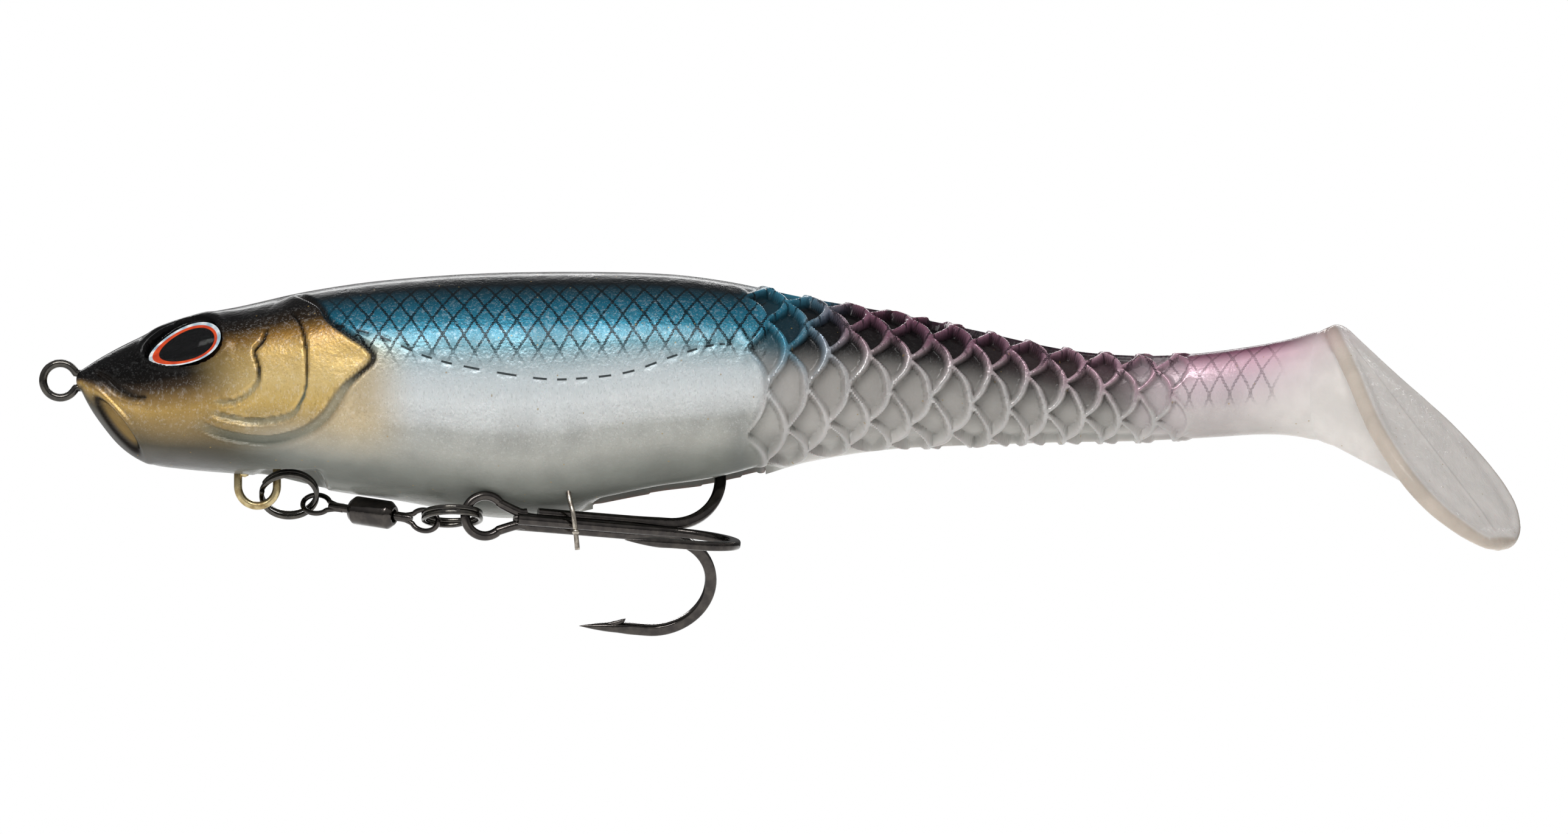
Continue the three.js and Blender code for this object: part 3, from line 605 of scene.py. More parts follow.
def metal_material(name, colour, worn, rough=(0.18, 0.34), scale=900.0):
    """Plated wire with faint drawing marks, darker stains and rubbed spots."""
    g = Graph(name, Metallic=1.0)
    place = g.node("TexCoord").outputs["Object"]
    stain = g.noise(place, scale, 4.0)
    fine = g.noise(place, scale * 6, 2.0)
    base = g.blend(g.remap(stain, 0.35, 0.7), rgba(colour), rgba(worn))
    base = g.blend(g.remap(fine, 0.6, 0.8, 0.0, 0.25), base, BLACK)
    g.put(g.shader.inputs["Base Color"], base)
    g.put(g.shader.inputs["Roughness"], g.remap(stain, 0.3, 0.7, *rough))
    g.put(g.shader.inputs["Normal"], g.relief(fine, 0.00002, 0.5))
    return g.material


def eye_material():
    """Printed foil: pupil, orange-red ring and a silvery rim, from the disc's own coordinates."""
    g = Graph("eye_print", Specular_IOR_Level=0.1)
    disc = g.node("SeparateXYZ", {0: g.attribute("rest")})
    u, v = disc.outputs[0], disc.outputs[1]

    def ring(shift_u, shift_v):
        a = g.math("ADD", u, shift_u)
        b = g.math("ADD", v, shift_v)
        squared = g.math("ADD", g.math("MULTIPLY", a, a), g.math("MULTIPLY", b, b))
        return g.math("SQRT", squared)

    silver = g.noise(g.attribute("rest"), 3.0, 4.0)
    rim = g.blend(g.remap(silver, 0.35, 0.65), rgba(srgb(238, 238, 238)), rgba(srgb(150, 176, 190)))
    red = g.blend(g.remap(silver, 0.3, 0.7), rgba(srgb(226, 84, 38)), rgba(srgb(186, 52, 26)))
    colour = g.blend(g.remap(ring(0.0, 0.02), 0.89, 0.915), red, rim)
    pupil = g.remap(ring(-0.055, 0.03), 0.76, 0.785)
    colour = g.blend(pupil, rgba(srgb(8, 8, 9)), colour)
    g.put(g.shader.inputs["Base Color"], colour)
    g.put(g.shader.inputs["Roughness"], g.remap(silver, 0.3, 0.7, 0.2, 0.35))
    return g.material


def dome_material():
    """Clear epoxy: mostly see-through, with a sharp gloss."""
    g = Graph("clear_dome", Roughness=0.02, IOR=1.5, Alpha=0.1)
    place = g.node("TexCoord").outputs["Object"]
    tint = g.blend(g.noise(place, 300.0), rgba(srgb(20, 22, 24)), rgba(srgb(44, 46, 48)))
    g.put(g.shader.inputs["Base Color"], tint)
    return g.material


def lead_material():
    g = Graph("cast_lead", Metallic=1.0)
    place = g.node("TexCoord").outputs["Object"]
    grain = g.noise(place, 1400.0, 5.0)
    base = g.blend(grain, rgba(srgb(92, 94, 100)), rgba(srgb(138, 140, 146)))
    g.put(g.shader.inputs["Base Color"], base)
    g.put(g.shader.inputs["Roughness"], g.remap(grain, 0.3, 0.7, 0.45, 0.7))
    g.put(g.shader.inputs["Normal"], g.relief(grain, 0.0001))
    return g.material


SKIN = skin_material()
NICKEL = metal_material("dark_nickel", srgb(68, 66, 64), srgb(84, 81, 76), (0.1, 0.18))
BLACK_NICKEL = metal_material("black_nickel", srgb(62, 59, 58), srgb(76, 72, 69), (0.08, 0.16))
BRASS = metal_material("pale_brass", srgb(186, 170, 130), srgb(142, 122, 84), (0.25, 0.5))
STEEL = metal_material("stainless", srgb(186, 178, 166), srgb(120, 112, 104))
EYE_PRINT = eye_material()
DOME = dome_material()
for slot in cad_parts["ballast_weight"].material_slots:
    slot.material = lead_material()

# ---------------------------------------------------------------- soft skin

SIDES = 240
STEP = 0.25
NOSE_RINGS = 7
turns = 2 * math.pi * (np.arange(SIDES) + 0.5) / SIDES


def skin_grid(first, last):
    """Stations and turns of the skin from first to last."""
    stations = np.arange(first, last + STEP / 2, STEP)
    return np.meshgrid(stations, turns, indexing="ij")


def plain_places(x, turn, cap):
    """Places of the plain body on the straight tail. A cap below 1 draws a ring in, for the nose."""
    offset, z = section(x, turn)
    middle = curve(WIDEST, x)
    offset, z = offset * cap, middle + (z - middle) * cap
    x = x - 0.75 * np.sqrt(np.clip(1 - cap ** 2, 0, 1))
    # The very end sinks into the web of the paddle.
    sunk = 1 - 0.035 * ease(173.5, 176, x)
    middle = (curve(BACK, x) + curve(BELLY, x)) / 2
    return np.stack([x, offset * sunk, middle + (z - middle) * sunk], axis=-1)


def grid_normals(places):
    """Outward normals of a closed-ring grid (rows, columns, 3)."""
    around = np.roll(places, -1, axis=1) - np.roll(places, 1, axis=1)
    along = np.gradient(places, axis=0)
    normal = np.cross(around, along)
    length = np.linalg.norm(normal, axis=-1, keepdims=True)
    return normal / np.maximum(length, 1e-9)


def belly_slot(x, offset, z):
    """How far the near lip lifts and the far lip sinks round the slot, and where the slot is."""
    (x0, y0), (x1, y1) = SLOT_LOW, SLOT_HIGH
    near, far = y0 - SLOT_PLAY, y1 + SLOT_PLAY
    inside = (x > x0 - SLOT_PLAY) & (x < x1) & (offset > near) & (offset < far) & (z < SLOT_ROOF)
    # The near lip sits a little higher than the far one.
    zone = ease(x0 - 3, x0 + 1, x) * ease(x1 + 3, x1 - 1, x) * (z < -8)
    lip = zone * ease(-6.5, -3, offset) * (offset <= y0)
    sink = zone * (offset >= y1) * ease(y1 + 4, y1, offset)
    return lip, sink, inside


def skin_piece(name, first, last):
    """One length of skin with one hidden extra ring past each open end."""
    start = first - STEP if first > 3 else first
    x, turn = skin_grid(start, last + STEP)
    cap = np.ones_like(x)
    if first <= 3:
        rows = np.sin(np.linspace(0.08, 1, NOSE_RINGS + 1)[:-1] * math.pi / 2)
        nose_x, nose_turn = np.meshgrid(np.full(NOSE_RINGS, 3.0), turns, indexing="ij")
        x, turn = np.vstack([nose_x, x]), np.vstack([nose_turn, turn])
        cap = np.vstack([np.repeat(rows[:, None], SIDES, axis=1), cap])
    places = plain_places(x, turn, cap)
    normals = grid_normals(places)
    offset, z = places[..., 1], places[..., 2]
    px = places[..., 0]

    height, dark = head_relief(px, z)
    fade = ease(0.02, 0.35, np.abs(np.cos(turn)))
    height, dark = height * fade * ease(48, 45, px), dark * fade * ease(48, 45, px)
    lateral = np.stack(lateral_dashes(px, z), axis=-1)
    cut = bump(lateral[..., 0], 0.25) * ease(0.6, 0.5, lateral[..., 1] % 1) * lateral[..., 2]
    scale_height, ridge, pocket, row = pockets(x, turn)
    height = height - 0.15 * cut * fade + scale_height

    lip, sink, inside = belly_slot(px, offset, z)
    places = places + normals * height[..., None]
    places[..., 2] += 1.3 * lip - 0.5 * sink
    hollow = ease(5.4, 3.2, np.abs(x - RING_HOLLOW[0])) * ease(3.2, 1, offset) * ease(-8, -11, z)
    places[..., 2] += hollow * np.maximum(RING_HOLLOW[1] - places[..., 2], 0)
    places[..., 2] = np.where(inside, SLOT_ROOF + SLOT_PLAY, places[..., 2])

    # The rings past the open ends sit just under the next length of skin.
    if first > 3:
        places[0] -= 0.03 * normals[0]
    places[-1] -= 0.03 * normals[-1]

    back, belly = curve(BACK, x), curve(BELLY, x)
    level = np.clip((z - belly) / (back - belly), 0, 1)
    paint, masks = skin_paint(px, z, level, pocket, ridge, row, dark)
    paint = mix(paint, srgb(120, 128, 126), 0.8 * inside)
    side_turn = np.arcsin(np.clip(np.sin(turn), -1, 1))
    girth = side_turn * (back - belly) * 0.46
    rest = np.stack([px, girth, offset], axis=-1)

    flat = lean_over(places.reshape(-1, 3))
    faces = grid_faces(x.shape[0], SIDES).tolist()
    if first <= 3:
        faces.append(list(range(SIDES))[::-1])
    paint = np.concatenate([paint, np.ones(paint.shape[:2] + (1,))], axis=-1)
    return make_mesh(name, flat, [f[::-1] for f in faces], SKIN, "soft_body", sharp=55, attributes=[
        ("rest", "FLOAT_VECTOR", rest.reshape(-1, 3)),
        ("lateral", "FLOAT_VECTOR", lateral.reshape(-1, 3)),
        ("paint", "FLOAT_COLOR", paint.reshape(-1, 4)),
        ("masks", "FLOAT_COLOR", masks.reshape(-1, 4))])


front_skin = skin_piece("skin_head_and_torso", 3, 97)
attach(front_skin, "body")
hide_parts("head_and_torso")

cuts = [97, 109, 121, 133, 145, 160]
stand_for = ["tail_segment_1", "tail_segment_2", "tail_segment_3", "tail_segment_4", "tail_wrist"]


for i, hinge in enumerate(TAIL_HINGES):
    piece = skin_piece(f"skin_bend_{i + 1}", cuts[i], cuts[i + 1])
    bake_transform(piece)
    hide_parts(stand_for[i])

# ---------------------------------------------------------------- paddle

PADDLE_TOP = np.array((176.6, 0, 7.6))
PADDLE_LEAN = math.radians(41.7)
PADDLE_THICK = 2.4
PADDLE_OUTLINE = [(0, 0), (0.5, 1.7), (2, 2.6), (5, 3.9), (10, 6.2), (15, 8.9), (20, 11.1),
                  (28, 12.5), (34, 11.4), (38.3, 8), (40.3, 5), (41.2, 2.6), (41.5, 0)]
DOWN = np.array((math.sin(PADDLE_LEAN), 0, -math.cos(PADDLE_LEAN)))
OUT = np.array((math.cos(PADDLE_LEAN), 0, math.sin(PADDLE_LEAN)))


def disc_piece():
    """Flat leaf of the paddle with rounded edges, on the straight tail."""
    rows = 40
    length = PADDLE_OUTLINE[-1][0]
    layers = []
    for turn in np.linspace(-math.pi / 2, math.pi / 2, 9):
        depth = PADDLE_THICK / 2 * math.sin(turn)
        inset = 0.9 * (1 - math.cos(turn))
        ring = []
        for side in (-1, 1):
            for i in range(rows):
                f = (1 - math.cos(math.pi * i / rows)) / 2
                d = length * (f if side < 0 else 1 - f)
                half = max(float(curve(PADDLE_OUTLINE, d)) - inset, 0)
                d = length / 2 + (d - length / 2) * (1 - 2 * inset / length)
                ring.append(PADDLE_TOP + DOWN * d + np.array((0, side * half, 0)) + OUT * depth)
        layers.append(ring)
    count = 2 * rows
    faces = grid_faces(len(layers), count).tolist()
    faces.append(list(range(count))[::-1])
    faces.append([(len(layers) - 1) * count + k for k in range(count)])
    return np.array(layers).reshape(-1, 3), faces


def web_piece():
    """Body of the wrist's end, running down into the front of the leaf."""
    sides = 64
    turn = 2 * math.pi * np.arange(sides) / sides
    rings = []
    for x in np.linspace(166, 177.2, 12):
        offset, z = section(np.full(sides, x), turn)
        size = 1.02 - 0.09 * float(ease(177, 172, x))
        middle = float(curve(BACK, x) + curve(BELLY, x)) / 2
        rings.append(np.stack([np.full(sides, x), offset * size, middle + (z - middle) * size], axis=1))
    top, foot = PADDLE_TOP + DOWN * 1.5 + OUT * 0.2, PADDLE_TOP + DOWN * 38 + OUT * 0.2
    level = ((np.sin(turn) + 1) / 2)[:, None]
    on_disc = foot + (top - foot) * level
    on_disc[:, 1] = 1.3 * np.sign(np.cos(turn)) * np.abs(np.cos(turn)) ** 0.5
    last = rings[-1]
    for f in (0.15, 0.35, 0.55, 0.75, 1):
        rings.append(last + (on_disc - last) * f)
    faces = grid_faces(len(rings), sides).tolist()
    faces.append(list(range(sides))[::-1])
    faces.append([(len(rings) - 1) * sides + k for k in range(sides)])
    return np.concatenate(rings), faces


def melted(pieces, voxel, smoothing):
    """One skin round several closed pieces, in millimetres."""
    places, faces = joined(*pieces)
    mesh = bpy.data.meshes.new("melt")
    mesh.from_pydata(places.tolist(), [], faces)
    obj = bpy.data.objects.new("melt", mesh)
    scene.collection.objects.link(obj)
    remesh = obj.modifiers.new("remesh", "REMESH")
    remesh.mode = "VOXEL"
    remesh.voxel_size = voxel
    soften = obj.modifiers.new("soften", "SMOOTH")
    soften.factor = 0.5
    soften.iterations = smoothing
    bpy.context.view_layer.update()
    done = obj.evaluated_get(bpy.context.evaluated_depsgraph_get()).to_mesh()
    out = np.empty(len(done.vertices) * 3, np.float32)
    done.vertices.foreach_get("co", out)
    polygons = [list(p.vertices) for p in done.polygons]
    bpy.data.objects.remove(obj)
    return out.reshape(-1, 3).astype(float), polygons


def paddle():
    """Leaf and web in one skin, with its rim, parting line and trough."""
    places, faces = melted([disc_piece(), web_piece()], 0.32, 14)
    from_top = places - PADDLE_TOP
    d = from_top @ DOWN
    depth = from_top @ OUT
    half = curve(PADDLE_OUTLINE, np.clip(d, 0, PADDLE_OUTLINE[-1][0]))
    edge = np.minimum(half - np.abs(places[:, 1]), PADDLE_OUTLINE[-1][0] - d)
    on_leaf = ease(-2.2, -0.6, depth)
    # Parting line down the rear face and a soft trough beside the near rim.
    line = bump(places[:, 1] + 1.2, 0.35) * ease(3, 6, d) * ease(40, 37, d) * (depth > 0.4)
    trough = bump(edge - 3.4, 1.3) * (depth > 0.4) * ease(2, 8, d)
    places = places + OUT * (0.16 * line - 0.14 * trough)[:, None]
    rim = ease(1.5, 0.8, edge) * on_leaf
    paint = mix(np.ones((len(places), 3)) * PADDLE_COLOUR, RIM_COLOUR, rim)
    paint = mix(paint, srgb(196, 190, 186), 0.4 * line + 0.3 * trough)
    low, high = curve(BELLY, places[:, 0]), curve(BACK, places[:, 0])
    level = np.clip((places[:, 2] - low) / (high - low), 0, 1)
    paint = mix(ramp(level, WRIST_RAMP), paint, neck_fade(places[:, 0], level))
    masks = np.zeros((len(places), 4))
    masks[:, 2] = 1
    masks[:, 3] = 1
    rest = places.copy()
    share = math.cos(math.atan(LEAN_SLOPE))
    over = np.maximum(places[:, 0] - PADDLE_TOP[0], 0)
    places[:, 0] -= over * (1 - share)
    paint = np.concatenate([paint, np.ones((len(places), 1))], axis=1)
    return make_mesh("paddle_leaf", lean_over(places), faces, SKIN, "clear_tail", attributes=[
        ("rest", "FLOAT_VECTOR", rest), ("paint", "FLOAT_COLOR", paint),
        ("masks", "FLOAT_COLOR", masks)])


neck = skin_piece("skin_neck", 160, 176)
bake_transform(neck)
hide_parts("tail_paddle")
leaf = paddle()
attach(leaf, "paddle")

# ---------------------------------------------------------------- eyes


def eye_frame(side):
    """Matrix of an eye: long axis, high axis, outward."""
    def level(x, z):
        middle = float(curve(WIDEST, x))
        rise = min((z - middle) / (float(curve(BACK, x)) - middle), 1)
        offset, _ = section(np.array(x, float), np.array(math.asin(rise ** (1 / BACK_ROUNDNESS))))
        return float(offset)

    x, z = EYE["x"], EYE["z"]
    slope_x = (level(x + 1, z) - level(x - 1, z)) / 2
    slope_z = (level(x, z + 1) - level(x, z - 1)) / 2
    out = Vector((-slope_x, side, -slope_z)).normalized()
    tilt = math.radians(EYE["tilt"])
    long = Vector((math.cos(tilt), 0, math.sin(tilt)))
    long = (long - out * long.dot(out)).normalized()
    high = out.cross(long)
    matrix = Matrix((long, high, out)).transposed().to_4x4()
    matrix.translation = (x, side * level(x, z), z)
    return matrix


def eye_disc(height_at, rings=24, sides=96):
    """Dished disc in the eye's own axes, with its unit coordinates."""
    r = np.linspace(0.02, 1, rings)[:, None]
    turn = (2 * math.pi * np.arange(sides) / sides)[None, :]
    u, v = r * np.cos(turn), r * np.sin(turn)
    tall = EYE["high"] * (1 + EYE["blunt"] * u)
    places = np.stack([u * EYE["long"], v * tall, height_at(r + 0 * turn)], axis=-1)
    faces = grid_faces(rings, sides).tolist()
    faces.append(list(range(sides))[::-1])
    unit = np.stack([u, v, 0 * u], axis=-1)
    return places.reshape(-1, 3), faces, unit.reshape(-1, 3)


def eye(side, name):
    matrix = eye_frame(side)
    foil, faces, unit = eye_disc(lambda r: EYE["floor"] + 0.75 + 0 * r)
    if side > 0:
        unit = unit * np.array((1, -1, 1))
    foil, _ = moved((foil, faces), matrix)
    disc = make_mesh("eye_print_" + name, foil, faces, EYE_PRINT, "eye_foil",
                     attributes=[("rest", "FLOAT_VECTOR", unit)])
    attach(disc, "body")
    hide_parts("eye_foil_" + name)
    cap, faces, _ = eye_disc(lambda r: -0.1 + EYE["dome"] * np.sqrt(np.clip(1 - r ** 2, 0, 1)))
    cap, _ = moved((cap, faces), matrix)
    cover = make_mesh("eye_cap_" + name, cap, faces, DOME, "eye_dome")
    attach(cover, "body")
    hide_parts("eye_dome_" + name)


eye(-1, "left")
eye(1, "right")

# ---------------------------------------------------------------- wires on the body

LINE_TIE_RING, LINE_TIE_WIRE = 2.39, 1.12
BELLY_EYE = dict(x=27.4, z=-14.7, ring=2.7, wire=1.15, top=-9.6)


def arc(middle, radius, start, end, steps):
    """Places round a circle in the XZ plane, angles in degrees."""
    turn = np.radians(np.linspace(start, end, steps))
    x, y, z = middle
    return np.stack([x + radius * np.cos(turn), np.full(steps, y), z + radius * np.sin(turn)], axis=1)


tie_loop = np.vstack([smooth_line([(4.6, 0, 0.35), (3.2, 0, 0.95)], 6)[:-1],
                      arc((0, 0, 0), LINE_TIE_RING, 26, 334, 60),
                      smooth_line([(3.2, 0, -0.95), (4.6, 0, -0.9), (13, 0, -3.6), (21, 0, -6.4),
                                   (35, 0, -7.9)], 6)])
collar = lathe([(2.3, 0.05), (2.35, 0.9), (2.7, 1.25), (3.3, 1.4), (3.8, 0.05)], 24)
tie = make_mesh("line_tie", *joined(tube(tie_loop, LINE_TIE_WIRE / 2, 16, normal=(0, 1, 0)), collar),
                NICKEL, "dark_nickel")
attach(tie, "body")
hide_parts("line_tie_wire")

e = BELLY_EYE
u_bend = np.vstack([[(e["x"] - e["ring"], 0, e["top"])],
                    arc((e["x"], 0, e["z"]), e["ring"], 180, 360, 40),
                    [(e["x"] + e["ring"], 0, e["top"])]])
lump = lathe([(-0.75, 0.03), (-0.5, 0.42), (0, 0.55), (0.45, 0.36), (0.7, 0.03)], 16)
lump = moved(lump, Matrix.Translation((e["x"] - e["ring"] + 0.95, -0.35, -12.9)))
belly_eye = make_mesh("belly_eye", *joined(tube(u_bend, e["wire"] / 2, 18, normal=(0, 1, 0)), lump),
                      BRASS, "pale_brass")
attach(belly_eye, "body")
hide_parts("belly_eye_wire")

# ---------------------------------------------------------------- split rings


def squared(power, across, along):
    """Section of a rolled wire: rounded rectangle, half sizes across and along the ring's axis."""
    def shape(_, turn):
        c, s = np.cos(turn), np.sin(turn)
        return (along * np.sign(c) * np.abs(c) ** power, across * np.sign(s) * np.abs(s) ** power)
    return shape


def split_ring(name, body, node, centre, radius, tilt, phase):
    """Two turns of flat wire that change sides once, with both ends cut square."""
    turn = np.radians(np.linspace(6, 714, 150))
    share = (turn - math.pi * 2) / math.radians(26)
    axial = 0.36 * np.tanh(share)
    path = np.stack([radius * np.cos(turn), axial, radius * np.sin(turn)], axis=1)
    coil = tube(path, 1.0, 12, normal=(0, 1, 0), shape=squared(0.5, 0.33, 0.34))
    matrix = (Matrix.Translation(centre) @ Matrix.Rotation(math.radians(tilt), 4, "X")
              @ Matrix.Rotation(math.radians(phase), 4, "Y"))
    ring = make_mesh(name, *moved(coil, matrix), NICKEL, "dark_nickel", sharp=50)
    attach(ring, body)
    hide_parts(node)


split_ring("ring_of_belly_eye", "ring_front", "split_ring_front", (31.8, 0.7, -15.8), 3.84, 41, 200)
split_ring("ring_of_treble", "ring_rear", "split_ring_rear", (54.45, -8.2, -18.85), 3.95, 76, 60)

# ---------------------------------------------------------------- barrel swivel

swivel_along = Vector((1, -0.47, -0.15)).normalized()
swivel_side = Vector((0, 0, 1)).cross(swivel_along).normalized()
swivel_up = swivel_along.cross(swivel_side)
swivel_frame = Matrix((swivel_along, swivel_side, swivel_up)).transposed().to_4x4()
swivel_frame.translation = (43.4, -2.2, -18.35)

barrel_profile = [(-2.6, 0.9), (-3.3, 0.9), (-3.4, 1.0), (-3.4, 1.25), (-3.28, 1.42), (-2.75, 1.86),
                  (-2.62, 1.94), (-2.5, 1.975), (2.5, 1.975), (2.62, 1.94), (2.75, 1.86),
                  (3.28, 1.42), (3.4, 1.25), (3.4, 1.0), (3.3, 0.9), (2.6, 0.9), (2.3, 1.4),
                  (-2.3, 1.4), (-2.6, 0.9)]
barrel = make_mesh("barrel", *moved(lathe(barrel_profile, 48), swivel_frame), BLACK_NICKEL,
                   "dark_nickel", sharp=35)
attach(barrel, "barrel")
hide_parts("swivel_barrel")


def swivel_eye(name, body, node, way, reach, roll):
    """Loop of wire whose two ends run into a button inside the barrel."""
    long, high, wire = 2.05, 1.45, 0.36
    turn = np.radians(np.linspace(28, 332, 44))
    loop = np.stack([way * (reach - long * np.cos(turn)), 0 * turn, high * np.sin(turn)], axis=1)
    root = way * (reach - long - 0.9)
    path = np.vstack([[(root - way * 1.2, 0, 0.32), (root, 0, 0.34)], loop,
                      [(root, 0, -0.34), (root - way * 1.2, 0, -0.32)]])
    path = smooth_line(path, 2)
    loop = tube(path, wire, 14, normal=(0, 1, 0))
    shank = lathe([(way * 0.9, 0.02), (way * 0.9, 1.1), (way * 1.75, 1.1), (way * 1.95, 0.6),
                   (way * (reach - long - 0.35), 0.6), (way * (reach - long + 0.05), 0.45),
                   (way * (reach - long + 0.1), 0.02)], 24)
    if way < 0:
        shank = (shank[0], [f[::-1] for f in shank[1]])
    turned = Matrix.Rotation(math.radians(-roll), 4, "X")
    piece = make_mesh(name, *moved(joined(loop, shank), swivel_frame @ turned), BLACK_NICKEL,
                      "dark_nickel", sharp=45)
    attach(piece, body)
    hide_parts(node)


swivel_eye("front_eye", "swivel_front", "swivel_front_eye", -1, 8.7, 30)
swivel_eye("rear_eye", "swivel_rear", "swivel_rear_eye", 1, 8.05, 0)

# ---------------------------------------------------------------- treble hook

treble_along = Vector((1, math.tan(math.radians(12.4)), -0.082)).normalized()
treble_side = Vector((0, 0, 1)).cross(treble_along).normalized()
treble_frame = Matrix((treble_along, treble_side, treble_along.cross(treble_side))).transposed().to_4x4()
treble_frame.translation = (59, -9.1, -18.8)
HOOK = dict(wire=0.75, spread=1.06, bend_at=26.1, bend=7.6, leg=9.6, ground=5.4, neck=5.3)


def hook(angle, start):
    """Shank, forged bend, leg, ground point and barb of one hook, in the treble's own axes."""
    turn = math.radians(angle)
    away = np.array((0, -math.cos(turn), math.sin(turn)))
    normal = np.cross((1, 0, 0), away)
    h = HOOK

    def at(a, r):
        return np.array((a, 0, 0)) + away * r

    outer = h["spread"] + 2 * h["bend"]
    tip = h["bend_at"] - h["leg"]
    path, size, forged = [], [], []

    def add(place, scale, flat):
        path.append(place)
        size.append(h["wire"] * scale)
        forged.append(flat)

    for a in np.linspace(start, h["bend_at"] - 1, 12):
        add(at(a, h["spread"]), 1, ease(h["bend_at"] - 5, h["bend_at"], a))
    for t in np.linspace(0, math.pi, 40):
        add(at(h["bend_at"] + h["bend"] * math.sin(t), h["spread"] + h["bend"] * (1 - math.cos(t))), 1, 1)
    straight = tip + h["ground"]
    for a in np.linspace(h["bend_at"] - 0.8, straight, 6):
        add(at(a, outer), 1, ease(straight - 0.5, straight + 2, a))
    for f in np.linspace(0.08, 1, 14):
        scale = (1 - f ** 1.6) * 0.96 + 0.04
        add(at(straight - h["ground"] * f, outer + 0.25 * f), scale, 0)
    flats = np.array(forged, float)

    def shape(k, turns):
        f = flats[k]
        power = 1 - 0.45 * f
        c, s = np.cos(turns), np.sin(turns)
        return ((1 - 0.14 * f) * np.sign(c) * np.abs(c) ** power,
                (1 + 0.06 * f) * np.sign(s) * np.abs(s) ** power)

    shaft = tube(path, size, 20, normal=normal, shape=shape)
    root = tip + 5.2
    spur = smooth_line([at(root - 2.3, outer - 0.12), at(root - 0.7, outer - 0.42),
                        at(root + 0.5, outer - 0.95), at(root + 1.1, outer - 1.5)], 5)
    widths = np.interp(np.linspace(0, 1, len(spur)), (0, 0.4, 0.8, 1), (0.2, 0.42, 0.3, 0.04))
    barb = tube(spur, widths, 12, normal=normal,
                shape=lambda k, t: (0.85 * np.cos(t), np.sin(t)))
    return joined(shaft, barb)


opening = 42
loop = arc((0, 0, 0), 2.8, opening, 360 - opening, 50)
eye_path = np.vstack([[(HOOK["neck"] + 0.6, 0, 0.86)], [(HOOK["neck"] - 0.5, 0, 0.84)], loop,
                      [(HOOK["neck"] - 0.5, 0, -0.84)], [(HOOK["neck"] + 0.6, 0, -0.86)]])
eye_loop = tube(smooth_line(eye_path, 3), 0.675, 18, normal=(0, 1, 0))
braze_path = np.linspace((HOOK["neck"] - 1.2, 0, 0), (HOOK["bend_at"] - 3, 0, 0), 24)
braze_size = np.interp(np.linspace(0, 1, 24), (0, 0.06, 0.15, 0.9, 1), (0.5, 1.05, 0.86, 0.82, 0.2))
braze = tube(braze_path, braze_size, 20)
pair = joined(eye_loop, braze, hook(-7, HOOK["neck"] - 0.8), hook(-122, HOOK["neck"] - 0.8))
double = make_mesh("double_hook", *moved(pair, treble_frame), BLACK_NICKEL, "hook_steel", sharp=60)
third = make_mesh("third_hook", *moved(hook(113, 7.6), treble_frame), BLACK_NICKEL, "hook_steel",
                  sharp=60)
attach(double, "treble")
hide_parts("treble_double_hook")
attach(third, "treble")
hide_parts("treble_third_hook")

pin_path = smooth_line([(71.85, -8.9, -23.5), (71.6, -9.1, -21), (71.2, -9.1, -18.3),
                        (70.7, -8.2, -16.2), (70.2, -7.4, -13), (69.9, -7.1, -10)], 8)
bead = lathe([(-0.4, 0.02), (-0.36, 0.34), (-0.15, 0.5), (0.15, 0.5), (0.36, 0.34), (0.4, 0.02)], 20)
bead = moved(bead, Matrix.Translation((71.6, -9.25, -21)) @ Matrix.Rotation(math.pi / 2, 4, "Y"))
pin = make_mesh("belly_pin", *joined(tube(pin_path, 0.35, 14), bead), STEEL, "stainless")
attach(pin, "treble")
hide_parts("hook_pin")

# ---------------------------------------------------------------- studio

MIDDLE = Vector((0.10055, 0, -0.00507))
VIEW_WIDTH = 0.21785


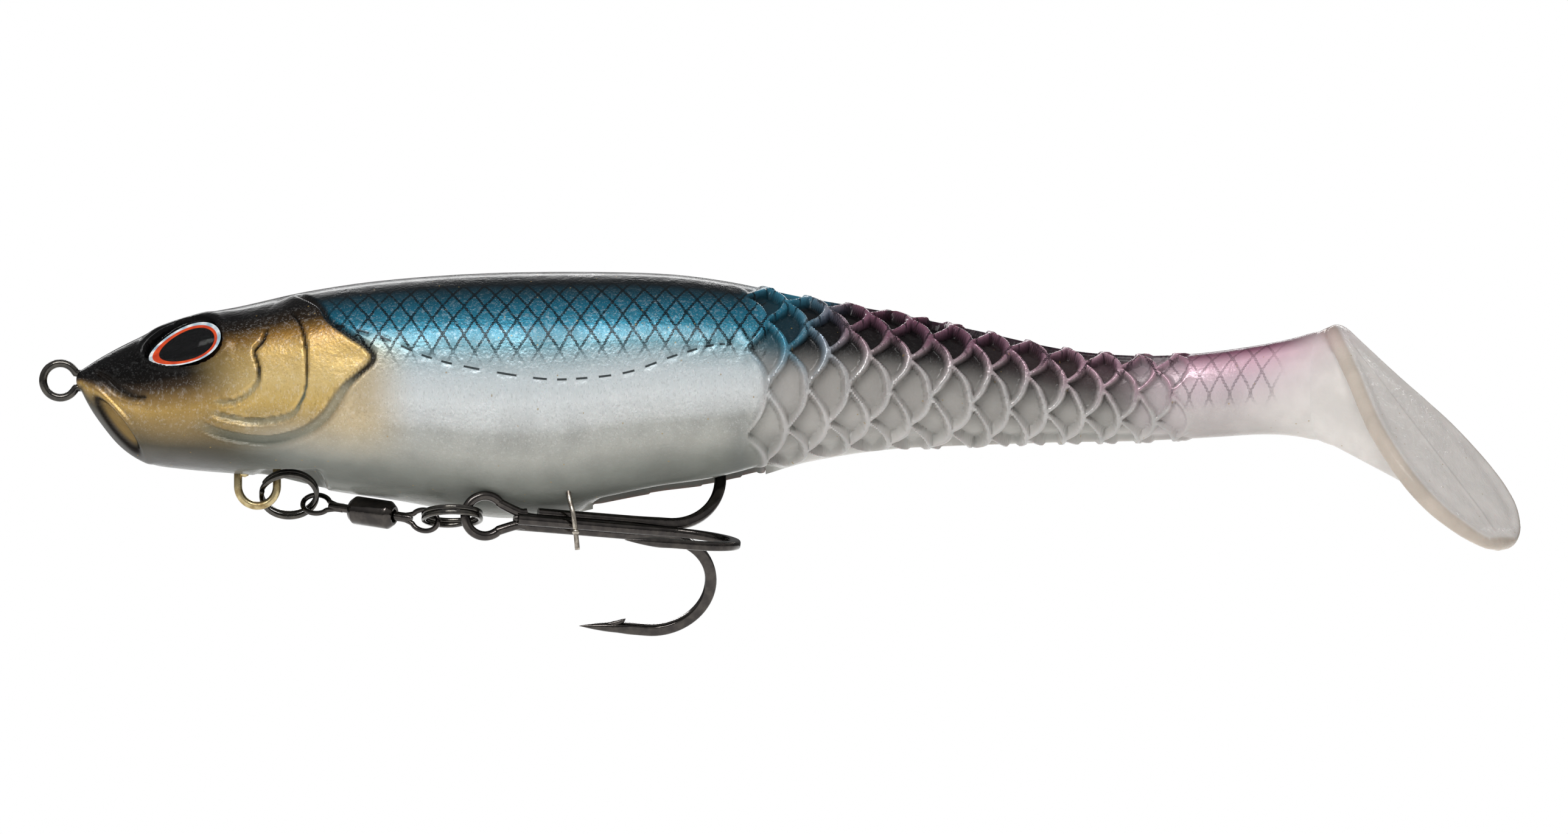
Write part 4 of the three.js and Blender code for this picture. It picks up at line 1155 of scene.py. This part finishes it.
def studio_world():
    """White behind the object; as light, bright above, dim below and dimmer behind."""
    world = bpy.data.worlds.new("studio")
    world.use_nodes = True
    tree = world.node_tree
    add = tree.nodes.new
    split = add("ShaderNodeSeparateXYZ")
    tree.links.new(add("ShaderNodeTexCoord").outputs["Generated"], split.inputs[0])
    levels = []
    for output, start, end, low, high in (("Z", -0.3, 0.7, 0.15, 0.62), ("Y", 0.1, 0.8, 1.0, 0.3)):
        level = add("ShaderNodeMapRange")
        level.interpolation_type = "SMOOTHSTEP"
        tree.links.new(split.outputs[output], level.inputs["Value"])
        for name, value in (("From Min", start), ("From Max", end), ("To Min", low), ("To Max", high)):
            level.inputs[name].default_value = value
        levels.append(level.outputs[0])
    total = add("ShaderNodeMath")
    total.operation = "MULTIPLY"
    tree.links.new(levels[0], total.inputs[0])
    tree.links.new(levels[1], total.inputs[1])
    glow = add("ShaderNodeBackground")
    tree.links.new(total.outputs[0], glow.inputs["Strength"])
    plain = add("ShaderNodeBackground")
    plain.inputs["Color"].default_value = WHITE
    glow.inputs["Color"].default_value = WHITE
    pick = add("ShaderNodeMixShader")
    tree.links.new(add("ShaderNodeLightPath").outputs["Is Camera Ray"], pick.inputs[0])
    tree.links.new(glow.outputs[0], pick.inputs[1])
    tree.links.new(plain.outputs[0], pick.inputs[2])
    tree.links.new(pick.outputs[0], tree.nodes["World Output"].inputs["Surface"])
    return world


scene.world = studio_world()


def area_light(name, place, aim, width, height, power):
    light = bpy.data.lights.new(name, "AREA")
    light.shape = "RECTANGLE"
    light.size, light.size_y = width, height
    light.energy = power
    obj = bpy.data.objects.new(name, light)
    obj.location = place
    obj.rotation_euler = (Vector(aim) - Vector(place)).to_track_quat("-Z", "Y").to_euler()
    scene.collection.objects.link(obj)


area_light("top_softbox", (0.10, 0.30, 0.20), MIDDLE, 0.5, 0.06, 1.1)
area_light("side_softbox", (0.02, -0.42, 0.34), MIDDLE, 0.34, 0.14, 1.9)

floor_mesh = bpy.data.meshes.new("floor")
FLOOR_HALF, FLOOR_LEVEL = 1.2, -0.09
corners = [(sx * FLOOR_HALF, sy * FLOOR_HALF, 0) for sx, sy in ((-1, -1), (1, -1), (1, 1), (-1, 1))]
floor_mesh.from_pydata(corners, [], [(0, 1, 2, 3)])
floor = bpy.data.objects.new("floor", floor_mesh)
floor.location = (0.1, 0, FLOOR_LEVEL)
paper = Graph("floor_paper", Roughness=0.9, Emission_Color=WHITE, Emission_Strength=0.35)
tone = paper.noise(paper.node("TexCoord").outputs["Object"], 6.0)
paper.put(paper.shader.inputs["Base Color"],
          paper.blend(tone, rgba(srgb(240, 240, 238)), rgba(srgb(232, 232, 230))))
floor_mesh.materials.append(paper.material)
scene.collection.objects.link(floor)

camera = bpy.data.objects.new("camera", bpy.data.cameras.new("camera"))
camera.data.type = "ORTHO"
camera.data.ortho_scale = VIEW_WIDTH
camera.location = MIDDLE + Vector((0, -0.5, 0))
camera.rotation_euler = (math.pi / 2, 0, 0)
scene.collection.objects.link(camera)
scene.camera = camera
scene.view_settings.view_transform = "Standard"
